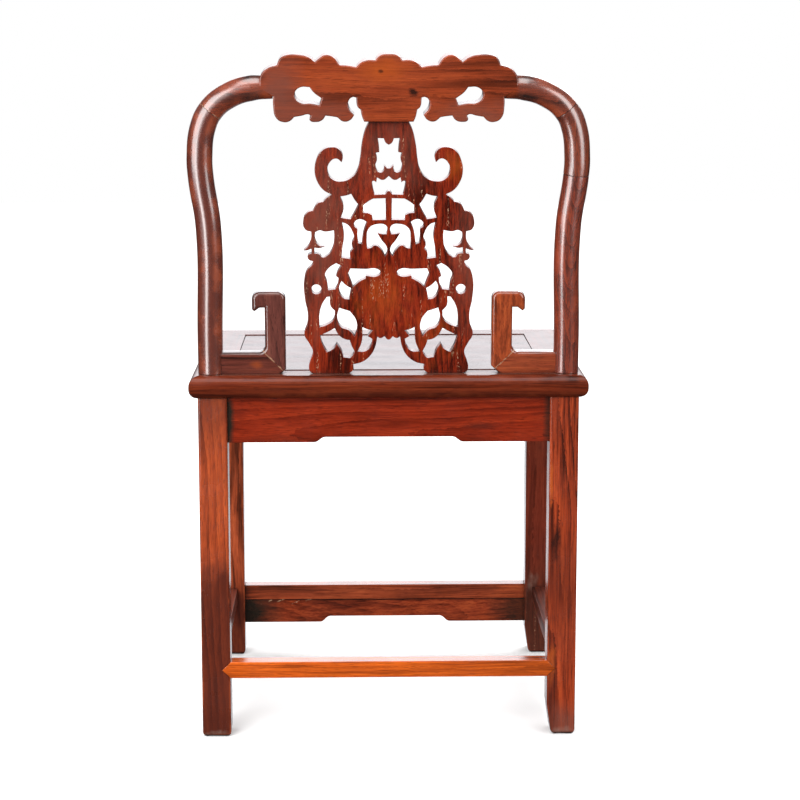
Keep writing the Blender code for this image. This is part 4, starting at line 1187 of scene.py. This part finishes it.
# The timber of each piece; its place in the list is the seed of its pattern
TIMBERS = {
    "top_rail": dict(
        grain="X", tone=(135, 53, 24), lines=0.5, veins=0.2, cloud=0.9, coat=0.08, shine=0.25, depth=2.3,
        polished=ROUND_ENDS, edges="back", stains_and_painted_light=(
            on_crest(0.010, 0.066, (0.040, 0.05, 0.018), GLOW, 0.55, 0.1, 0.9),
            on_crest(0.010, 0.064, (0.004, 0.01, 0.003), INK, 0.7),
            on_crest(-0.030, 0.037, (0.008, 0.01, 0.006), INK, 0.9),
            # Painted sheen: grey patches at the crest's end, lower lobes and top
            on_crest(0.140, 0.040, (0.040, 0.03, 0.060), *PAINTED_SHEEN),
            on_crest(0.090, 0.0, (0.070, 0.03, 0.038), *PAINTED_SHEEN),
            on_crest(-0.020, 0.090, (0.060, 0.03, 0.014), GREY_HAZE_AND_SHEEN, 0.6, 0.2, 0.8),
            on_crest(-0.110, 0.0, (0.070, 0.03, 0.036), *PAINTED_SHEEN),
            # Painted shadow over and under the round ends
            *rod_end_shadow(1), *rod_end_shadow(-1)),
        joints=(joint_at(left_line, "bend", DUST), joint_at(right_line, "bend"))),
    "back_splat": dict(
        grain="Z", tone=(120, 33, 12), lines=1.6, cloud=1.0, veins=0.5, flecks=0.8, coat=0.25,
        edges="back", ring=0.006, stains_and_painted_light=(
            on_splat(0.090, 0.20, (0.055, 0.03, 0.20), GREY_HAZE_AND_SHEEN, 0.8, 0.1, 1.2),
            on_splat(-0.105, 0.15, (0.030, 0.03, 0.12), GREY_HAZE_AND_SHEEN, 0.6, 0.1, 1.2),
            on_splat(0.0, 0.29, (0.060, 0.03, 0.07), GREY_HAZE_AND_SHEEN, 0.65, 0.1, 1.2),
            on_splat(0.010, 0.105, (0.040, 0.03, 0.05), GLOW, 0.35, 0.1, 2.2),
            on_splat(-0.085, 0.275, (0.016, 0.03, 0.025), GLOW, 0.5, 0.1, 1.6),
            on_splat(-0.060, 0.05, (0.030, 0.03, 0.04), GLOW, 0.25, 0.1, 2.2))),
    "back_bend_right": dict(
        POST, tone=(122, 47, 21), edges=None, coat=1.0, cloud=1.0,
        joints=(joint_at(right_line, "splice"),)),
    "rear_leg_left": dict(
        REAR_LEG, tone=(154, 61, 26), veins=0.15, lines=0.4, cloud=0.8, pith=(0.032, 0.030), ring=0.008,
        tilt=0.06, joints=(joint_at(left_line, "bend", DUST),), stains_and_painted_light=(
            on_leg(1, 1, 0.0, (0.2, 0.2, 0.235), SHADOW, 0.75, 0.90, 0.25),
            on_leg(0.97, 1, 0.0, (0.05, 0.05, 0.070), SHADOW, 0.6, 0.2, 0.8),
            foot_dust(1),
            on_leg(1, 1, SEAT_UNDERSIDE, (0.2, 0.2, 0.080), SHADOW, 0.5, 0.3, 0.6),
            post_brown(1, 0.85))),
    "rear_leg_right": dict(
        REAR_LEG, tone=(143, 50, 20), veins=0.6, lines=1.5, cloud=0.4, ring=0.0036, sway=0.008, tilt=0.02,
        joints=(joint_at(right_line, "splice"),), stains_and_painted_light=(
            on_leg(-0.96, 1, 0.262, (0.007, 0.01, 0.030), INK, 0.85),
            on_leg(-0.93, 1, 0.345, (0.003, 0.01, 0.035), GLOW, 0.8),
            on_leg(-0.94, 1, 0.10, (0.007, 0.01, 0.030), GLOW, 0.6),
            on_leg(-1, 1, 0.20, (0.05, 0.05, 0.10), SHADOW, 0.5, 0.2, 0.5),
            on_leg(-1, 1, 0.0, (0.05, 0.05, 0.05), GREY_HAZE_AND_SHEEN, 0.7, 0.4, 0.5),
            on_leg(-0.93, 1, 0.04, (0.012, 0.05, 0.060), SHADOW, 0.8, 0.2, 0.8),
            foot_dust(-1), post_brown(-1, 0.35))),
    "front_leg_left": dict(
        grain="Z", tone=(166, 74, 42), veins=0.5, cloud=1.4, lines=1.0, tilt=0.03, stains_and_painted_light=(
            on_leg(1, -1, 0.22, (0.03, 0.05, 0.025), INK, 0.6, 0.1, 2.0),
            on_leg(1, -1, 0.0, (0.2, 0.2, 0.13), SHADOW, 0.8, 0.6, 0.4))),
    "front_leg_right": dict(
        grain="Z", tone=(122, 47, 30), veins=0.2, cloud=0.6, lines=0.6, flecks=0.5, stains_and_painted_light=(
            on_leg(-1, -1, 0.0, (0.2, 0.2, 0.16), SOOT, 0.6, 0.6, 0.4),
            on_leg(-0.96, -1, 0.11, (0.014, 0.05, 0.040), GREY_DUST, 0.35, 0.1, 3.0))),
    # Hook brackets: their rounded rims carry a painted dark reflection
    "bracket_foot_left": dict(
        BRACKET, grain="X", tone=(102, 47, 36), dark_rim_reflection=0.75, joints=(mitre_at(1),), stains_and_painted_light=(
            on_back(0.172, 0.014, BRACKET_THICKNESS, (0.009, 0.01, 0.006), GLOW, 0.45, 0.1, 2.4),)),
    "bracket_hook_left": dict(
        BRACKET, grain="Z", tone=(102, 53, 45), veins=0.15, lines=0.5, dark_rim_reflection=0.75, joints=(mitre_at(1),)),
    "bracket_foot_right": dict(BRACKET, grain="X", tone=(131, 55, 31), dark_rim_reflection=0.55, joints=(mitre_at(-1),)),
    "bracket_hook_right": dict(
        BRACKET, grain="Z", tone=(150, 63, 30), veins=0.2, dark_rim_reflection=0.55, joints=(mitre_at(-1),)),
    "seat_rail_rear": dict(
        grain="X", tone=(101, 37, 18), veins=0.5, lines=1.2, coat=0.06, level=0.3, stains_and_painted_light=(
            mark_at(Vector((0, SEAT_REAR, SEAT_UNDERSIDE)), (0.5, 0.05, 0.016), SHADOW, 0.7, 0.3, 0.4),
            mark_at(Vector((0, REAR_Y + 0.012, SEAT_TOP)), (0.5, 0.010, 0.0012), GREY_DUST, 0.25, 0.2, 1.6))),
    "seat_rail_front": dict(SEAT_RAIL, grain="X"),
    "seat_rail_left": dict(SEAT_RAIL, grain="Y"),
    "seat_rail_right": dict(SEAT_RAIL, grain="Y"),
    "seat_panel": dict(grain="X", tone=(90, 38, 29), gloss=0.22, coat=0.3, shine=0.2, waves=0.015),
    "seat_batten_1": BATTEN,
    "seat_batten_2": BATTEN,
    "apron_rear": dict(
        grain="X", tone=(127, 36, 14), veins=0.15, lines=0.3, cloud=1.0, growth=0.3, pith=(0.03, 0.02),
        tilt=0.04, stains_and_painted_light=(
            mark_at(Vector((-0.118, REAR_Y, 0.421)), (0.030, 0.05, 0.006), SHADOW, 0.7, 0.2, 1.0),
            mark_at(Vector((0.150, REAR_Y, 0.400)), (0.050, 0.05, 0.012), SHADOW, 0.6, 0.2, 1.2),
            # Painted shade at the ends, in the recess by the legs
            *end_soot_and_shade("apron_rear", 0.010, 0.5))),
    "apron_front": dict(APRON, grain="X", stains_and_painted_light=end_soot_and_shade("apron_front", 0.010, 0.5)),
    "apron_left": dict(APRON, grain="Y"),
    "apron_right": dict(APRON, grain="Y"),
    "stretcher_apron_front": dict(
        grain="X", tone=(140, 54, 27), veins=0.5, lines=1.2, tilt=-0.12, stains_and_painted_light=(
            on_leg(0.28, -1, 0.09, (0.060, 0.1, 0.06), SHADOW, 0.5, 0.2, 1.0),
            seam_dirt("stretcher_apron_front"), *end_soot_and_shade("stretcher_apron_front", 0.060, 0.4)),
        joints=tuple(scratch("stretcher_apron_front", *line) for line in (
            (0.170, 0.080, -0.4, 0.020), (0.140, 0.086, -0.4, 0.026),
            (0.125, 0.080, -0.45, 0.018), (0.100, 0.085, -0.35, 0.026)))),
    "stretcher_rear": dict(
        grain="X", tone=(198, 85, 21), veins=0.25, lines=1.0, cloud=0.5, stains_and_painted_light=(
            mark_at(Vector((-0.22, REAR_Y, 0.10)), (0.25, 0.2, 0.2), SHADOW, 0.25, 0.2, 0.3),)),
    "stretcher_front": dict(
        grain="X", tone=(152, 65, 36), veins=0.45, lines=1.2, stains_and_painted_light=(
            on_leg(0.28, -1, 0.14, (0.060, 0.1, 0.06), SHADOW, 0.7, 0.2, 1.0),)),
    "stretcher_left": SIDE_STRETCHER,
    "stretcher_right": SIDE_STRETCHER,
}
for number, (node_name, looks) in enumerate(TIMBERS.items()):
    pieces[node_name].data.materials.append(rosewood(node_name, seed=number + 1.0, **looks))


# Floor, light and camera
CAMERA_PLACE = (0.0432, 2.80, 0.9424)
CAMERA_PITCH = math.radians(90.0 - 9.058)
CAMERA_TURN = math.radians(180.0 - 1.266)
LENS = 91.71
LENS_SHIFT = -0.065
SENSOR_WIDTH = 36.0
PAPER_SIZE = 16.0
PAPER_LEVEL = -0.0004
PAPER_WHITE = (0.96, 0.96, 0.96, 1.0)

# Lights that only show in the polish: place, aim, width, height and brightness
SHINES = {
    "key_shine": ((0.84, 0.82, 1.02), (0, 0.19, 0.95), 0.72, 1.10, 3.4),
    "low_shine": ((0.72, 1.02, 0.32), (-0.2, 0.19, 0.50), 0.36, 0.36, 5.0),
    "soft_shine": ((0.66, 1.32, 1.00), (0.1, 0.19, 0.95), 0.60, 1.10, 0.8),
    "side_shine": ((-0.80, 0.80, 1.00), (0, 0.19, 0.85), 0.46, 1.0, 3.0),
    "top_shine": ((0.1, 0.85, 2.3), (0, 0.25, 0.6), 1.4, 1.5, 2.6),
}


def make_floor():
    """A sheet of white paper, which the polish doesn't mirror."""
    bpy.ops.mesh.primitive_plane_add(size=PAPER_SIZE, location=(0, 0, PAPER_LEVEL))
    floor = bpy.context.object
    floor.name = "studio_floor"
    paper = bpy.data.materials.new("white_paper")
    paper.use_nodes = True
    surface = paper.node_tree.nodes["Principled BSDF"].inputs
    surface["Base Color"].default_value = PAPER_WHITE
    surface["Roughness"].default_value = 0.9
    surface["Specular IOR Level"].default_value = 0.0
    floor.data.materials.append(paper)
    floor.visible_glossy = False
    floor.visible_diffuse = False


def softbox(name, location, aim, wide, high, glow, lights=True, mirrored=True):
    """A large soft light of a given brightness that isn't seen itself."""
    light = bpy.data.lights.new(name, "AREA")
    light.shape = "RECTANGLE"
    light.size = wide
    light.size_y = high
    light.energy = glow * math.pi * wide * high
    lamp = bpy.data.objects.new(name, light)
    lamp.location = location
    lamp.rotation_euler = (Vector(aim) - Vector(location)).to_track_quat("-Z", "Y").to_euler()
    lamp.visible_camera = False
    lamp.visible_diffuse = lights
    lamp.visible_glossy = mirrored
    bpy.context.scene.collection.objects.link(lamp)


def make_room():
    """White to look at, darker from below, and mirrored as dark behind the camera and bright beyond."""
    room = bpy.data.worlds.new("white_room")
    bpy.context.scene.world = room
    sky = Recipe(room)
    heading = sky.add("ShaderNodeTexCoord").outputs["Generated"]
    heading = sky.add("ShaderNodeSeparateXYZ", {0: heading}).outputs
    rays = sky.add("ShaderNodeLightPath").outputs

    def glow(strength, colour=(1, 1, 1, 1)):
        return sky.add("ShaderNodeBackground", {"Color": colour, "Strength": strength}).outputs[0]

    def choose(ray, otherwise, chosen):
        return sky.add("ShaderNodeMixShader", {0: rays[ray], 1: otherwise, 2: chosen}).outputs[0]

    seen = sky.tree.nodes["Background"]
    seen.inputs["Color"].default_value = (1, 1, 1, 1)
    seen.inputs["Strength"].default_value = 1.0
    lit = glow(sky.span(heading["Z"], -0.3, 0.3, 0.45, 1.45))
    wall = sky.span(heading["Z"], -0.02, 0.10, 0.15, 1.5)
    wall = sky.times(wall, sky.span(heading["Z"], 0.18, 0.32, 1.0, 2.1))
    wall = sky.plus(wall, sky.span(heading["Z"], -0.24, -0.14, 1.1, 0.0))
    wall = sky.times(wall, sky.span(heading["Y"], -0.945, -0.84, 1.0, 0.03))
    view = choose("Is Glossy Ray", lit, glow(wall, (0.94, 0.96, 1.0, 1)))
    view = choose("Is Camera Ray", view, seen.outputs[0])
    sky.feed(sky.tree.nodes["World Output"].inputs["Surface"], view)


def make_camera():
    """The photograph's place, behind the chair and a little above its crest, looking down at it."""
    lens = bpy.data.cameras.new("photo_camera")
    lens.lens = LENS
    lens.sensor_width = SENSOR_WIDTH
    lens.shift_y = LENS_SHIFT
    camera = bpy.data.objects.new("photo_camera", lens)
    camera.location = CAMERA_PLACE
    camera.rotation_euler = (CAMERA_PITCH, 0.0, CAMERA_TURN)
    bpy.context.scene.collection.objects.link(camera)
    bpy.context.scene.camera = camera


make_floor()
make_room()
make_camera()
for light_name, settings in SHINES.items():
    softbox(light_name, *settings, lights=False)
softbox("key_fill", (1.2, 2.2, 1.7), (0, 0.19, 0.6), 1.5, 1.5, 7.0, mirrored=False)
softbox("front_light", (-0.9, -1.7, 1.9), (0, 0, 0.5), 1.2, 1.2, 5.0)
bpy.context.scene.view_settings.view_transform = "Standard"
